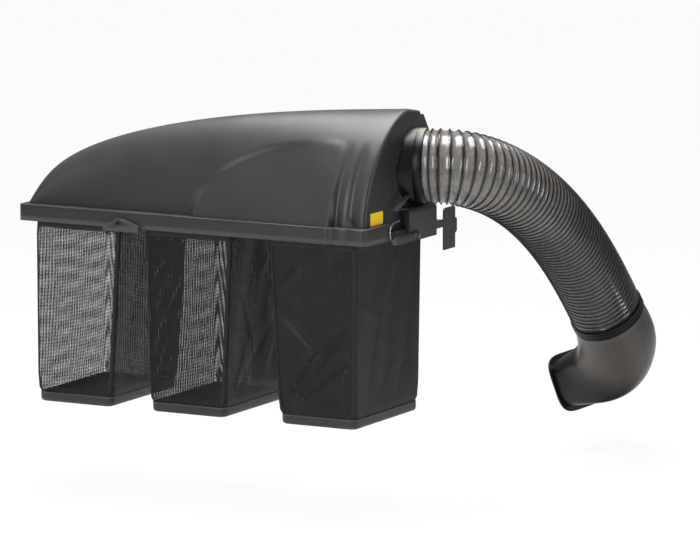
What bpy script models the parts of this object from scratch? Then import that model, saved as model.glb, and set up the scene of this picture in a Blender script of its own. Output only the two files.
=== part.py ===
# Triple bagger: a hood, three hanging mesh bags, their carrying frame and the duct to the mower deck.
# Metres. X to the right seen from behind, Y forward, Z up. The origin is the middle of the hitch face.
# Shapes are written from the rim: Y from the rim's rear plane, Z from the rim's lower edge.
import math

import bmesh
import bpy
import numpy as np
from mathutils import Vector

# Clearances, and how far a cutter or a joined piece reaches past the face that it crosses
SEAT_GAP = 0.0003
RUN_GAP = 0.0006
LIFT_OUT_GAP = 0.008
CUT_PAST = 0.020
ROOT = 0.001
FLUSH = 0.0001

# Bags
BAG_TOP_WIDTH = 0.315
BAG_BOTTOM_WIDTH = 0.275
BAG_GAP_LEFT = 0.097
BAG_GAP_RIGHT = 0.137
BAG_REAR = 0.030
BAG_DEPTH = 0.453
BAG_TAPER_DEPTH = 0.015
BAG_DROP = 0.597
BAG_CORNER = 0.028
BAG_REACH = (3 * BAG_TOP_WIDTH + BAG_GAP_LEFT + BAG_GAP_RIGHT) / 2
BAGS = (("left", BAG_TOP_WIDTH / 2 - BAG_REACH, -0.018),
        ("middle", 3 * BAG_TOP_WIDTH / 2 + BAG_GAP_LEFT - BAG_REACH, -0.008),
        ("right", BAG_REACH - BAG_TOP_WIDTH / 2, 0.018))
FABRIC = 0.0025
FABRIC_LEVELS = 5
FABRIC_TUCK = 0.004
TRAY_WALL = 0.003
TRAY_FLOOR = 0.0045
TRAY_CHAMFER = 0.008
TRAY_HEIGHT = 0.032
FLANGE = 0.018
FLANGE_THICK = 0.004
SKIRT_THICK = 0.003
SKIRT_DROP = 0.022
GRIP_WIDTH = 0.026
GRIP_THICK = 0.005
GRIP_RISE = 0.050
GRIP_REACH = 0.085
GRIP_LAP = 0.010
GRIP_LANDING = 0.030
GRIP_SLOPE = 0.012
GRIP_SKEW = 0.0055

# Carrying frame
RAIL_TOP = 0.019
BAG_HANG = BAG_DROP + RAIL_TOP
TUBE = 0.018
TUBE_WALL = 0.002
SHEET = 0.003
LIP_HEIGHT = 0.018
END_RAIL_WIDTH = 0.030
END_RAIL_IN = BAG_REACH + LIFT_OUT_GAP
END_RAIL_OUT = END_RAIL_IN + END_RAIL_WIDTH
REAR_RAIL_BACK = 0.0095
REAR_RAIL_FRONT = REAR_RAIL_BACK + TUBE
FRONT_RAIL_DEPTH = 0.050
FRONT_RAIL_HEIGHT = 0.025
FRONT_RAIL_REAR = BAG_REAR + BAG_DEPTH + LIFT_OUT_GAP
FRONT_RAIL_FRONT = FRONT_RAIL_REAR + FRONT_RAIL_DEPTH
BUMPER_RADIUS = 0.0065
BUMPER_INSET = 0.0005
BUMPER_AHEAD = 0.060
MAST_SIZE = 0.032
MAST_HALF_SPREAD = 0.110
MAST_BEND = 0.070
MAST_REACH = 0.159
PLATE_THICK = 0.008
PLATE_WIDTH = 0.320
PLATE_HEIGHT = 0.180
BOLT_RADIUS = 0.005
BOLT_HEAD = 0.009
BOLT_HEAD_THICK = 0.006
BOLT_ROW = 0.055
BOLT_SHORT = 0.001
BRACE_BELOW = 0.260
BRACE_HEIGHT = 0.030
BRACE_THICK = 0.005

# Where the rim stands from the hitch face
HITCH_AHEAD = FRONT_RAIL_FRONT + MAST_REACH
HITCH_BELOW = 0.50
SHIFT = Vector((0.0, -HITCH_AHEAD, HITCH_BELOW))
PLATE_REAR = HITCH_AHEAD - PLATE_THICK
MAST_Y = PLATE_REAR - SEAT_GAP - MAST_SIZE / 2
MAST_TOP = RAIL_TOP - FRONT_RAIL_HEIGHT / 2
MAST_FOOT = -HITCH_BELOW - PLATE_HEIGHT / 2

# Hood
HOOD_WALL = 0.004
HOOD_SIDE_GAP = 0.0085
HOOD_HALF_WIDTH = END_RAIL_OUT + HOOD_SIDE_GAP + HOOD_WALL
RIM_HEIGHT = 0.053
RIM_ROUND = 0.003
RIM_CORNER = 0.020
RIM_CORNER_CUT = 0.29 * RIM_CORNER
LEDGE = 0.030
LEDGE_LEFT = 0.023
LEDGE_RIGHT = 0.018
CREST_ROUND = 0.014
CHEEK_FACE = HOOD_HALF_WIDTH - LEDGE_RIGHT
DOME_LEFT = LEDGE_LEFT - HOOD_HALF_WIDTH
DOME_RIGHT = CHEEK_FACE - CREST_ROUND
DOME_HEIGHT = 0.349
DOME_POWER = 2.26
RIDGE_TILT = 0.094
REAR_DEPTH_RIGHT = 0.307
REAR_DEPTH_LEFT = 0.080
REAR_DEPTH_POWER = 0.70
REAR_POWER = 1.70
ROOF_FALL = 0.175
ROOF_FLAT_UNDER = 0.100
HOOD_FRONT_LAP = 0.039
FRONT_FOOT = FRONT_RAIL_REAR + HOOD_FRONT_LAP
FRONT_LEAN = 0.115
FRONT_POWER = 3
FRONT_TOP = FRONT_FOOT - FRONT_LEAN
SEAM_FOOT = 0.172
SEAM_POWER = 1.15
LIP_DEPTH = 0.085
LIP_DROP = 0.051
LIP_RISE = 0.006
LIP_SHORT = 0.015
SEAM_TOP = FRONT_TOP - LIP_SHORT - LIP_DEPTH
REAR_ROWS = np.linspace(0.0, 1.0, 9)
ROOF_ROWS = np.linspace(0.0, 1.0, 4)[1:]
LEFT_STATIONS = 14
PANEL_STATIONS = 7

# Pressed panel and grooves in the hood's rear face, placed from the dome's right end
PANEL_LEFT = -0.025
PANEL_CENTRE = DOME_RIGHT - 0.138
PANEL_RIGHT = DOME_RIGHT - 0.101
PANEL_SQUARE = 4
PANEL_TOP = 0.265
PANEL_FOOT = 0.008
PANEL_LEAN = 0.130
PANEL_LEAN_POWER = 1.35
PANEL_EDGE = 0.16
PANEL_EDGE_RIGHT = 0.5
GROOVES = ((DOME_RIGHT - 0.090, 0.011, 0.007), (DOME_RIGHT - 0.040, 0.014, 0.009))
GROOVE_TOP = 0.270
GROOVE_FADE = 0.080
GROOVE_IN_BAND = 0.5
BAND_PROUD = 0.0035
BAND_STEP = -0.064
BAND_STEP_HALF = 0.004

# Lift handle on the band, beside the gap between the left bag and the middle one
HANDLE_MIDDLE = BAG_TOP_WIDTH + 0.0215 - BAG_REACH
HANDLE_LEFT = 0.060
HANDLE_RIGHT = 0.071
HANDLE_THICK = 0.014
HANDLE_DROP = 0.010
HANDLE_TOP = 0.031
HANDLE_TOP_HALF = 0.009
HANDLE_SHOULDERS = (0.006, 0.011)
HANDLE_SLOT_HALF = (0.013, 0.004)
HANDLE_SLOT = (0.012, 0.026)
HANDLE_SLOT_DEEP = 0.010

# Hood hinge
HINGE_AHEAD = 0.0075
HINGE_Y = FRONT_FOOT + HINGE_AHEAD
HINGE_Z = 0.250
HINGE_SPREAD = 0.330
HINGE_PLATE = 0.005
HINGE_EYE = 0.016
HINGE_PIN = 0.006
PIN_HEAD = 0.010
PIN_HEAD_THICK = 0.004
HINGE_PIVOT = (0.0, HINGE_Y, HINGE_Z)
ARM_HEIGHT = 0.014
ARM_REACH = 0.075
ARM_THICK = 0.010
ARM_SLOPE = 0.012
ARM_UNDER_EDGE = 0.002
ARM_UNDER_ROOF = 0.00135
ARM_NECK = 0.004
NOTCH_GAP = 0.003
NOTCH_BELOW = 0.006
NOTCH_HEIGHT = 0.100
POST_WALL_GAP = 0.006
POST_SHOULDER = 0.026
POST_FOOT = 0.030
POST_FLARE = 0.010
POST_TOE = 0.011

# Front housing
HOUSING_WALL = 0.004
HOUSING_BACK = 0.004
HOUSING_INSET = 0.012
HOUSING_UNDER = 0.010
WALL_ROWS = 8
WALL_COLUMNS = 16
WALL_LEAST = 0.010
CHEEK_OUT = CHEEK_FACE - 0.010
CHEEK_OVERLAP = 0.016
CHEEK_UNDER = 0.010
CHEEK_STEPS = 6
CHEEK_TOP = 0.372
CHEEK_SHOULDER = 0.030
SHELF_REAR = FRONT_FOOT - 0.234
SHELF_FRONT = FRONT_FOOT - 0.048
SHELF_OUT = HOOD_HALF_WIDTH + 0.0038
SHELF_TOP = 0.086
SHELF_FOOT = -0.022
SHELF_ROUND = 0.018
GUSSET_LENGTH = 0.030
GUSSET_SHORT = 0.010

# Side stay at the duct end of the front rail
STAY_THICK = 0.005
STAY_TAB = 0.046
STAY_AHEAD = 0.014
STAY_WIDTH = 0.079
STAY_DROP = 0.083
STAY_RISE = 0.054
STAY_BEVEL = 0.006
STAY_EAR = 0.012
STAY_EAR_FOOT = -0.030
STAY_EAR_TOP = 0.010

# Duct
COLLAR_END = (HOOD_HALF_WIDTH + 0.010, FRONT_FOOT - 0.130, 0.212)
COLLAR_TURN = 18.0
COLLAR_RADIUS = 0.122
COLLAR_WALL = 0.005
COLLAR_IN = 0.090
COLLAR_EDGE = 0.002
COLLAR_STEP = 0.010
SPIGOT = 0.035
SPIGOT_WALL = 0.004
DUCT_SIDES = 16
DUCT_UP = (-0.35, 0.0, 1.0)
HOSE_BORE = 0.1145
HOSE_VALLEY = 0.1175
HOSE_CREST = 0.1225
HOSE_RIBS = 48
HOSE_LEAD = 0.037
HOSE_REACH = 0.332
HOSE_END = (0.824, 1.390, -0.405)
HOSE_END_AIM = (0.124, 0.561, -0.818)
HOSE_END_REACH = 0.342
CUFF_LENGTH = 0.034
CUFF_THICK = 0.0035
CHUTE_WALL = 0.004
CHUTE_MOUTH = (0.620, 1.560, -0.660)
CHUTE_MOUTH_AIM = (-0.930, 0.0, -0.360)
CHUTE_MOUTH_HALF = (0.150, 0.085)
CHUTE_FLANGE = 0.016
CHUTE_FLANGE_THICK = 0.005
CHUTE_NECK_REACH = 0.150
CHUTE_MOUTH_REACH = 0.170
CHUTE_BULGE = 0.020
CHUTE_ROUND = 2.0
CHUTE_SQUARE = 4.2
CHUTE_RINGS = 12

# Side latch
BRACKET_HALF = (0.018, 0.014)
BRACKET_THICK = 0.003
LATCH_Y = SHELF_REAR + 0.039
LATCH_Z = -0.005
LATCH_REACH = 0.163
LATCH_HALF = 0.013
LATCH_THICK = 0.008
LATCH_TAPER = 0.020
LATCH_TIP = 0.008
LATCH_TIP_HALF = 0.007
LATCH_PIN = 0.004
LATCH_CAP = 0.008
LATCH_CAP_THICK = 0.0032
LATCH_RIBS = 9
RIB_START = 0.026
RIB_END = 0.034
RIB_WIDTH = 0.005
RIB_HEIGHT = 0.003
RIB_INSET = 0.004
LATCH_IN = SHELF_OUT + BRACKET_THICK + 2 * SEAT_GAP
LATCH_OUT = LATCH_IN + LATCH_THICK
HOOK_Y = LATCH_Y - LATCH_REACH
HOOK_WIRE = 0.003
HOOK_END = 0.002
HOOK_CENTRE = (0.028, 0.030)
HOOK_BOW = (0.042, 0.030)
HOOK_TAIL = (0.052, 0.062)


def finish(name, rgb, roughness, metallic=0.0):
    """A plain finish; the colour is given as it is seen on a screen."""
    material = bpy.data.materials.new(name + "_finish")
    material.use_nodes = True
    shader = material.node_tree.nodes["Principled BSDF"]
    linear = [((c / 255 + 0.055) / 1.055) ** 2.4 if c > 10 else c / 255 / 12.92 for c in rgb]
    shader.inputs["Base Color"].default_value = (*linear, 1.0)
    shader.inputs["Roughness"].default_value = roughness
    shader.inputs["Metallic"].default_value = metallic
    return material


BLACK_PLASTIC = ((66, 63, 66), 0.42, 0.0)
DARK_PLASTIC = ((57, 59, 59), 0.45, 0.0)
BLACK_STEEL = ((38, 38, 40), 0.40, 0.6)
ZINC = ((150, 152, 155), 0.35, 1.0)
MESH_CLOTH = ((60, 58, 58), 0.85, 0.0)
TRAY_PLASTIC = ((62, 60, 60), 0.50, 0.0)
CLEAR_HOSE = ((120, 116, 114), 0.25, 0.0)
RUBBER = ((28, 28, 30), 0.70, 0.0)
CHUTE_PLASTIC = ((90, 84, 80), 0.40, 0.0)
COLLAR_PLASTIC = ((46, 42, 46), 0.40, 0.0)


def solid(name, points, faces, look, pivot=None, smooth=True):
    """Makes a closed solid from points given from the rim; a moving one has its origin on its pivot."""
    origin = (Vector(pivot) if pivot else Vector((0.0, 0.0, 0.0))) + SHIFT
    mesh = bpy.data.meshes.new(name)
    shift = SHIFT - origin
    mesh.from_pydata([Vector(p) + shift for p in points], [], faces)
    body = bmesh.new()
    body.from_mesh(mesh)
    bmesh.ops.recalc_face_normals(body, faces=body.faces)
    body.to_mesh(mesh)
    body.free()
    if smooth:
        mesh.shade_smooth()
        mesh.set_sharp_from_angle(angle=math.radians(35))
    part = bpy.data.objects.new(name, mesh)
    part.location = origin
    bpy.context.collection.objects.link(part)
    if look:
        mesh.materials.append(finish(name, *look))
    return part


def combine(part, tool, operation):
    """Cuts with a tool, or joins it on; the tool itself isn't built."""
    tool.hide_render = True
    tool.display_type = "WIRE"
    change = part.modifiers.new(tool.name, "BOOLEAN")
    change.operation = operation
    change.solver = "EXACT"
    change.object = tool
    return part


def add(part, name, shape):
    """Joins a closed shape onto a part."""
    return combine(part, solid(name, *shape, None), "UNION")


def loft(rings, loop=False):
    """Points and faces of a skin over equal rings; a loop joins the last ring to the first."""
    count = len(rings[0])
    points = [p for ring in rings for p in ring]
    faces = []
    spans = len(rings) if loop else len(rings) - 1
    for r in range(spans):
        a, b = r * count, (r + 1) % len(rings) * count
        for k in range(count):
            n = (k + 1) % count
            faces.append((a + k, a + n, b + n, b + k))
    if not loop:
        faces.append(tuple(range(count - 1, -1, -1)))
        last = (len(rings) - 1) * count
        faces.append(tuple(range(last, last + count)))
    return points, faces


def prism(outline, axis, start, end):
    """Points and faces of a flat outline drawn out along an axis."""
    def put(a, b, c):
        return {"x": (c, a, b), "y": (a, c, b), "z": (a, b, c)}[axis]
    return loft([[put(a, b, start) for a, b in outline], [put(a, b, end) for a, b in outline]])


def block(low, high):
    outline = [(low[0], low[1]), (high[0], low[1]), (high[0], high[1]), (low[0], high[1])]
    return prism(outline, "z", low[2], high[2])


def merge(*shapes):
    """Several separate closed shapes as one list of points and faces."""
    points, faces = [], []
    for shape_points, shape_faces in shapes:
        start = len(points)
        points += list(shape_points)
        faces += [tuple(start + i for i in face) for face in shape_faces]
    return points, faces


def round_rect(half_x, half_y, radius):
    """A rectangle with round corners, as points round its middle."""
    outline = []
    for sx, sy, first in ((1, 1, 0), (-1, 1, 90), (-1, -1, 180), (1, -1, 270)):
        for degrees in (0, 30, 60, 90):
            a = math.radians(first + degrees)
            outline.append((sx * (half_x - radius) + radius * math.cos(a),
                            sy * (half_y - radius) + radius * math.sin(a)))
    return outline


def circle(radius, sides):
    return [(radius * math.cos(2 * math.pi * k / sides), radius * math.sin(2 * math.pi * k / sides))
            for k in range(sides)]


def hexagon(radius):
    """A six-sided outline with a point at every corner and at the middle of every side."""
    flat = radius * math.cos(math.pi / 6)
    return [(a * reach, b * reach) for (a, b), reach in zip(circle(1.0, 12), [radius, flat] * 6)]


def rod(start, end, radius, sides=12):
    """A round bar between two points."""
    start, end = Vector(start), Vector(end)
    side, up = frame_of((end - start).normalized())
    outline = circle(radius, sides)
    return loft([[p + side * a + up * b for a, b in outline] for p in (start, end)])


def frame_of(aim, up_hint=(0.0, 0.0, 1.0)):
    """Two directions square to a given one."""
    hint = Vector(up_hint)
    if abs(aim.dot(hint)) > 0.95:
        hint = Vector((0.0, 1.0, 0.0))
    side = aim.cross(hint).normalized()
    return side, side.cross(aim).normalized()


def pipe(path, outline, up_hint=(0.0, 0.0, 1.0)):
    """A bar of one section carried along a path of points, mitred at the bends."""
    path = [Vector(p) for p in path]
    legs = [(b - a).normalized() for a, b in zip(path, path[1:])]
    side, up = frame_of(legs[0], up_hint)
    rings = []
    for k, p in enumerate(path):
        leg, following = legs[max(k - 1, 0)], legs[min(k, len(legs) - 1)]
        mitre = (leg + following).normalized()
        offsets = [side * a + up * b for a, b in outline]
        rings.append([p + offset - leg * (offset.dot(mitre) / leg.dot(mitre)) for offset in offsets])
        turn = leg.rotation_difference(following)
        side, up = turn @ side, turn @ up
    return loft(rings)


def bezier(p0, p1, p2, p3, count):
    """Points and directions along a cubic curve."""
    p0, p1, p2, p3 = (np.array(p, float) for p in (p0, p1, p2, p3))
    t = np.linspace(0.0, 1.0, count)[:, None]
    points = (1 - t) ** 3 * p0 + 3 * (1 - t) ** 2 * t * p1 + 3 * (1 - t) * t ** 2 * p2 + t ** 3 * p3
    aims = 3 * (1 - t) ** 2 * (p1 - p0) + 6 * (1 - t) * t * (p2 - p1) + 3 * t ** 2 * (p3 - p2)
    return points, aims / np.linalg.norm(aims, axis=1)[:, None]


# Hood shape
def dome_share(x):
    """0 at the dome's right end, 1 at its left foot."""
    return min(max((DOME_RIGHT - x) / (DOME_RIGHT - DOME_LEFT), 0.0), 1.0)


def ridge_height(x):
    w = dome_share(x)
    return DOME_HEIGHT * (1 - w ** DOME_POWER) ** (1 / DOME_POWER) * (1 - RIDGE_TILT * w)


def rear_depth(x):
    share = dome_share(x) ** REAR_DEPTH_POWER
    return REAR_DEPTH_RIGHT + (REAR_DEPTH_LEFT - REAR_DEPTH_RIGHT) * share


def front_edge(height):
    """How far forward the hood's front edge lies where the dome has a given height."""
    return FRONT_FOOT + (FRONT_TOP - FRONT_FOOT) * (max(height, 0.0) / DOME_HEIGHT) ** FRONT_POWER


def roof_z(x, y):
    height = ridge_height(x)
    return RIM_HEIGHT + height - ROOF_FALL * (y - LEDGE - rear_depth(x)) * min(height / ROOF_FLAT_UNDER, 1.0)


def ease(t):
    t = min(max(t, 0.0), 1.0)
    return t * t * (3 - 2 * t)


def panel_share(x, rise):
    """1 inside the pressed panel, 0 outside it, with a soft shoulder between."""
    if x < PANEL_CENTRE:
        reach = ((PANEL_CENTRE - x) / (PANEL_CENTRE - PANEL_LEFT)) ** 2 + (rise / PANEL_TOP) ** 2
        return ease((1 - reach) / PANEL_EDGE)
    across = (x - PANEL_CENTRE) / (PANEL_RIGHT - PANEL_CENTRE)
    reach = across ** PANEL_SQUARE + (rise / PANEL_TOP) ** PANEL_SQUARE
    return ease((1 - reach) / PANEL_EDGE_RIGHT)


def groove_depth(x, rise):
    """How deep the upright grooves lie; they run out near the dome's shoulder."""
    fade = ease((GROOVE_TOP - rise) / GROOVE_FADE)
    return sum(depth * math.exp(-((x - middle) / half) ** 2) * fade for middle, half, depth in GROOVES)


def rear_point(x, share):
    """A point on the dome's rear face; the share runs from its foot, 0, to its ridge, 1."""
    angle = share * math.pi / 2
    height = ridge_height(x)
    y = LEDGE + rear_depth(x) * (1 - math.cos(angle) ** (2 / REAR_POWER))
    rise = height * math.sin(angle) ** (2 / REAR_POWER)
    if height > 0:
        flat = PANEL_FOOT + PANEL_LEAN * (rise / PANEL_TOP) ** PANEL_LEAN_POWER
        y += panel_share(x, rise) * (flat - y)
    return Vector((x, y + groove_depth(x, rise), RIM_HEIGHT + rise))


def seam_point(share):
    """The hood's edge on the duct side: up the cheek, from the ledge, 0, to the lip over the collar, 1."""
    rise = math.sin(share * math.pi / 2) ** (2 / REAR_POWER)
    return Vector((CHEEK_FACE, SEAM_FOOT + (SEAM_TOP - SEAM_FOOT) * rise ** SEAM_POWER,
                   RIM_HEIGHT + (DOME_HEIGHT - LIP_DROP) * rise))


def lip_point(share):
    """The hood's edge over the collar, from the cheek, 0, to the front, 1."""
    foot = RIM_HEIGHT + DOME_HEIGHT - LIP_DROP
    return Vector((CHEEK_FACE, SEAM_TOP + LIP_DEPTH * share, foot + LIP_RISE * share))


def stations():
    """Where the hood's cross sections lie: close together at the left end and at the grooves."""
    turns = np.linspace(0.0, math.pi / 2, LEFT_STATIONS)
    left = [DOME_RIGHT - (DOME_RIGHT - DOME_LEFT) * math.cos(turn) ** (2 / DOME_POWER) for turn in turns]
    places = [x for x in left if x < BAND_STEP - 10 * BAND_STEP_HALF]
    places += [BAND_STEP - BAND_STEP_HALF, BAND_STEP + BAND_STEP_HALF]
    edge = (PANEL_RIGHT - PANEL_CENTRE) / 2
    places += list(np.linspace(PANEL_LEFT + edge, PANEL_CENTRE - edge, PANEL_STATIONS))
    for middle, half, _ in GROOVES:
        places += [middle - 1.5 * half, middle, middle + 1.5 * half]
    return places + [DOME_RIGHT]


def hood_columns():
    """Each column runs from the ledge over the ridge to the front edge; the last ones turn down the cheek."""
    columns = []
    for x in stations():
        column = [rear_point(x, share) for share in REAR_ROWS]
        ridge = LEDGE + rear_depth(x)
        edge = front_edge(ridge_height(x))
        ahead = [ridge + (edge - ridge) * share for share in ROOF_ROWS]
        columns.append(column + [Vector((x, y, roof_z(x, y))) for y in ahead])
    crest = columns[-1]
    seam = [seam_point(share) for share in REAR_ROWS] + [lip_point(share) for share in ROOF_ROWS]
    for turn in (math.pi / 4, math.pi / 2):
        out = (CHEEK_FACE - DOME_RIGHT) * math.sin(turn)
        travel = CREST_ROUND * (1 - math.cos(turn))
        column = []
        for top, foot in zip(crest, seam):
            p = top + Vector((0.0, foot.y - top.y, foot.z - top.z)).normalized() * travel
            column.append(Vector((DOME_RIGHT + out, p.y, p.z)))
        columns.append(column)
    return columns + [seam]


def band_point(p, part):
    """Where the band stands, in plan, outside a point of the dome's foot."""
    if part == "left":
        return Vector((-HOOD_HALF_WIDTH, max(p.y, RIM_CORNER), 0.0))
    if part == "left corner":
        return Vector((-HOOD_HALF_WIDTH + RIM_CORNER_CUT, RIM_CORNER_CUT, 0.0))
    if part == "right corner":
        return Vector((HOOD_HALF_WIDTH - RIM_CORNER_CUT, RIM_CORNER_CUT, 0.0))
    if part == "right":
        return Vector((HOOD_HALF_WIDTH, max(p.y, RIM_CORNER), 0.0))
    middle, half, _ = GROOVES[0]
    proud = BAND_PROUD if BAND_STEP < p.x < middle - half else 0.0
    return Vector((p.x, GROOVE_IN_BAND * groove_depth(p.x, 0.0) - proud, 0.0))


def make_hood():
    """One moulded shell: the dome, a ledge round its foot, and an upright band down to the lower edge."""
    columns = hood_columns()
    rows = len(columns[0])
    grid = [p for column in columns for p in column]
    faces = []
    for i in range(len(columns) - 1):
        for j in range(rows - 1):
            a, b = i * rows + j, (i + 1) * rows + j
            faces.append((a, b, b + 1, a + 1))
    foot = list(range(rows - 1, 0, -1)) + [i * rows for i in range(len(columns))]
    parts = ["left"] * (rows - 1) + ["left corner"]
    parts += ["rear"] * (len(columns) - 4) + ["right corner"] + ["right"] * 2
    outer = [band_point(grid[index], part) for index, part in zip(foot, parts)]
    previous = foot
    for inset, z in ((RIM_ROUND, RIM_HEIGHT), (0.0, RIM_HEIGHT - RIM_ROUND), (0.0, 0.0)):
        row = list(range(len(grid), len(grid) + len(foot)))
        for index, rim in zip(foot, outer):
            inward = Vector((grid[index].x - rim.x, grid[index].y - rim.y, 0.0)).normalized()
            grid.append(rim + inward * inset + Vector((0.0, 0.0, z)))
        faces += [(previous[k], row[k], row[k + 1], previous[k + 1]) for k in range(len(foot) - 1)]
        previous = row
    hood = solid("hood", grid, faces, BLACK_PLASTIC, HINGE_PIVOT)
    if sum(face.normal.z * face.area for face in hood.data.polygons) < 0:
        hood.data.flip_normals()
    wall = hood.modifiers.new("wall", "SOLIDIFY")
    wall.thickness = HOOD_WALL
    wall.offset = -1.0
    wall.use_even_offset = True
    wall.use_quality_normals = True


def make_lift_handle():
    """A moulded wedge under the rim, with a shallow slot, pressed onto the band's face."""
    left, right = HANDLE_MIDDLE - HANDLE_LEFT, HANDLE_MIDDLE + HANDLE_RIGHT
    outline = [(left, -HANDLE_DROP), (right, -HANDLE_DROP), (right, HANDLE_SHOULDERS[1]),
               (HANDLE_MIDDLE + HANDLE_TOP_HALF, HANDLE_TOP), (HANDLE_MIDDLE - HANDLE_TOP_HALF, HANDLE_TOP),
               (left, HANDLE_SHOULDERS[0])]
    handle = solid("lift_handle", *prism(outline, "y", -HANDLE_THICK, -SEAT_GAP), DARK_PLASTIC, HINGE_PIVOT)
    foot, top = HANDLE_SLOT_HALF
    slot = [(HANDLE_MIDDLE - foot, HANDLE_SLOT[0]), (HANDLE_MIDDLE + foot, HANDLE_SLOT[0]),
            (HANDLE_MIDDLE + top, HANDLE_SLOT[1]), (HANDLE_MIDDLE - top, HANDLE_SLOT[1])]
    rear, front = -HANDLE_THICK - CUT_PAST, HANDLE_SLOT_DEEP - HANDLE_THICK
    combine(handle, solid("slot_tool", *prism(slot, "y", rear, front), None), "DIFFERENCE")


# Bags
def bag_ring(drop, grow, centre, lean, z):
    """A round-cornered ring of the bag's outline at a share of its drop, grown by a margin, at a height."""
    half_x = (BAG_TOP_WIDTH + (BAG_BOTTOM_WIDTH - BAG_TOP_WIDTH) * drop) / 2 + grow
    half_y = (BAG_DEPTH - BAG_TAPER_DEPTH * drop) / 2 + grow
    middle_x = centre + lean * drop
    middle_y = BAG_REAR + (BAG_DEPTH - BAG_TAPER_DEPTH * drop) / 2
    return [(middle_x + a, middle_y + b, z) for a, b in round_rect(half_x, half_y, BAG_CORNER + grow)]


def make_bag(side, centre, lean):
    """The mesh bag, which tucks into its tray, and the plastic frame and grip at its top."""
    def hung(z, grow):
        return bag_ring(max(RAIL_TOP - z, 0.0) / BAG_HANG, grow, centre, lean, z)

    def seated(z, grow):
        return bag_ring(1.0, grow, centre, lean, z)

    tray_top = -BAG_DROP + TRAY_HEIGHT
    fabric_foot = -BAG_DROP + TRAY_FLOOR + SEAT_GAP
    in_tray = -TRAY_WALL - SEAT_GAP
    levels = np.linspace(RAIL_TOP, tray_top + FABRIC_TUCK, FABRIC_LEVELS)
    tucked = (tray_top + 2 * SEAT_GAP, fabric_foot)
    outer = [hung(z, 0.0) for z in levels] + [seated(z, in_tray) for z in tucked]
    inner = [hung(z, -FABRIC) for z in levels] + [seated(z, in_tray - FABRIC) for z in tucked]
    solid("bag_" + side + "_fabric", *loft(outer + inner[::-1], loop=True), MESH_CLOTH)

    tray = [seated(-BAG_DROP, -TRAY_CHAMFER), seated(-BAG_DROP + TRAY_CHAMFER, 0.0), seated(tray_top, 0.0),
            seated(tray_top, -TRAY_WALL), seated(-BAG_DROP + TRAY_FLOOR, -TRAY_WALL)]
    solid("bag_" + side + "_tray", *loft(tray), TRAY_PLASTIC)

    skirt, skirt_foot = -FABRIC - SEAT_GAP, RAIL_TOP - SKIRT_DROP
    flange_foot, flange_top = RAIL_TOP + SEAT_GAP, RAIL_TOP + SEAT_GAP + FLANGE_THICK
    section = ((FLANGE, flange_foot), (FLANGE, flange_top), (skirt - SKIRT_THICK, flange_top),
               (skirt - SKIRT_THICK, skirt_foot), (skirt, skirt_foot), (skirt, flange_foot))
    solid("bag_" + side + "_frame", *loft([hung(z, grow) for grow, z in section], loop=True), DARK_PLASTIC)

    foot = flange_top + SEAT_GAP
    top = foot + GRIP_RISE
    reach = BAG_TOP_WIDTH / 2 + GRIP_LAP
    shoulder = reach - GRIP_LANDING
    crown = shoulder - GRIP_SLOPE
    below = [(reach, foot), (shoulder, foot), (crown, top - GRIP_THICK)]
    above = [(reach, foot + GRIP_THICK), (shoulder + GRIP_SKEW, foot + GRIP_THICK), (crown + GRIP_SKEW, top)]
    half = [(-a, z) for a, z in below] + [(a, z) for a, z in below[::-1]]
    arch = [(centre + a, z) for a, z in half + above + [(-a, z) for a, z in above[::-1]]]
    middle = BAG_REAR + GRIP_REACH
    rear, front = middle - GRIP_WIDTH / 2, middle + GRIP_WIDTH / 2
    solid("bag_" + side + "_grip", *prism(arch, "y", rear, front), BLACK_PLASTIC)


# Carrying frame
def rectangular_tube(name, axis, start, end, low, high):
    """A welded tube with open ends; its section runs from the low corner to the high one."""
    def ring(inset, along):
        corners = [(low[0] + inset, low[1] + inset), (high[0] - inset, low[1] + inset),
                   (high[0] - inset, high[1] - inset), (low[0] + inset, high[1] - inset)]
        if axis == "x":
            return [(along, a, b) for a, b in corners]
        return [(a, along, b) for a, b in corners]
    rings = [ring(0.0, start), ring(0.0, end), ring(TUBE_WALL, end), ring(TUBE_WALL, start)]
    return solid(name, *loft(rings, loop=True), BLACK_STEEL, smooth=False)


def bag_gaps():
    """From where to where each gap between two bags runs at the top."""
    half = BAG_TOP_WIDTH / 2
    left, middle, right = (centre for _, centre, _ in BAGS)
    return {"left": (left + half, middle - half), "right": (middle + half, right - half)}


def make_rails():
    """Tubes round the bags, and a folded channel in each gap between them."""
    rectangular_tube("rear_rail", "x", -END_RAIL_OUT, END_RAIL_OUT,
                     (REAR_RAIL_BACK, RAIL_TOP - TUBE), (REAR_RAIL_FRONT, RAIL_TOP))
    rectangular_tube("front_rail", "x", -END_RAIL_OUT, END_RAIL_OUT,
                     (FRONT_RAIL_REAR, RAIL_TOP - FRONT_RAIL_HEIGHT), (FRONT_RAIL_FRONT, RAIL_TOP))
    start, end = REAR_RAIL_FRONT + SEAT_GAP, FRONT_RAIL_REAR - SEAT_GAP
    for side, low in (("left", -END_RAIL_OUT), ("right", END_RAIL_IN)):
        rectangular_tube("end_rail_" + side, "y", start, end,
                         (low, RAIL_TOP - TUBE), (low + END_RAIL_WIDTH, RAIL_TOP))
    for side, (left, right) in bag_gaps().items():
        low, high = left + LIFT_OUT_GAP, right - LIFT_OUT_GAP
        foot = RAIL_TOP - LIP_HEIGHT
        channel = [(low, foot), (low + SHEET, foot), (low + SHEET, RAIL_TOP - SHEET),
                   (high - SHEET, RAIL_TOP - SHEET), (high - SHEET, foot), (high, foot),
                   (high, RAIL_TOP), (low, RAIL_TOP)]
        solid("mid_rail_" + side, *prism(channel, "y", start, end), BLACK_STEEL, smooth=False)


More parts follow.
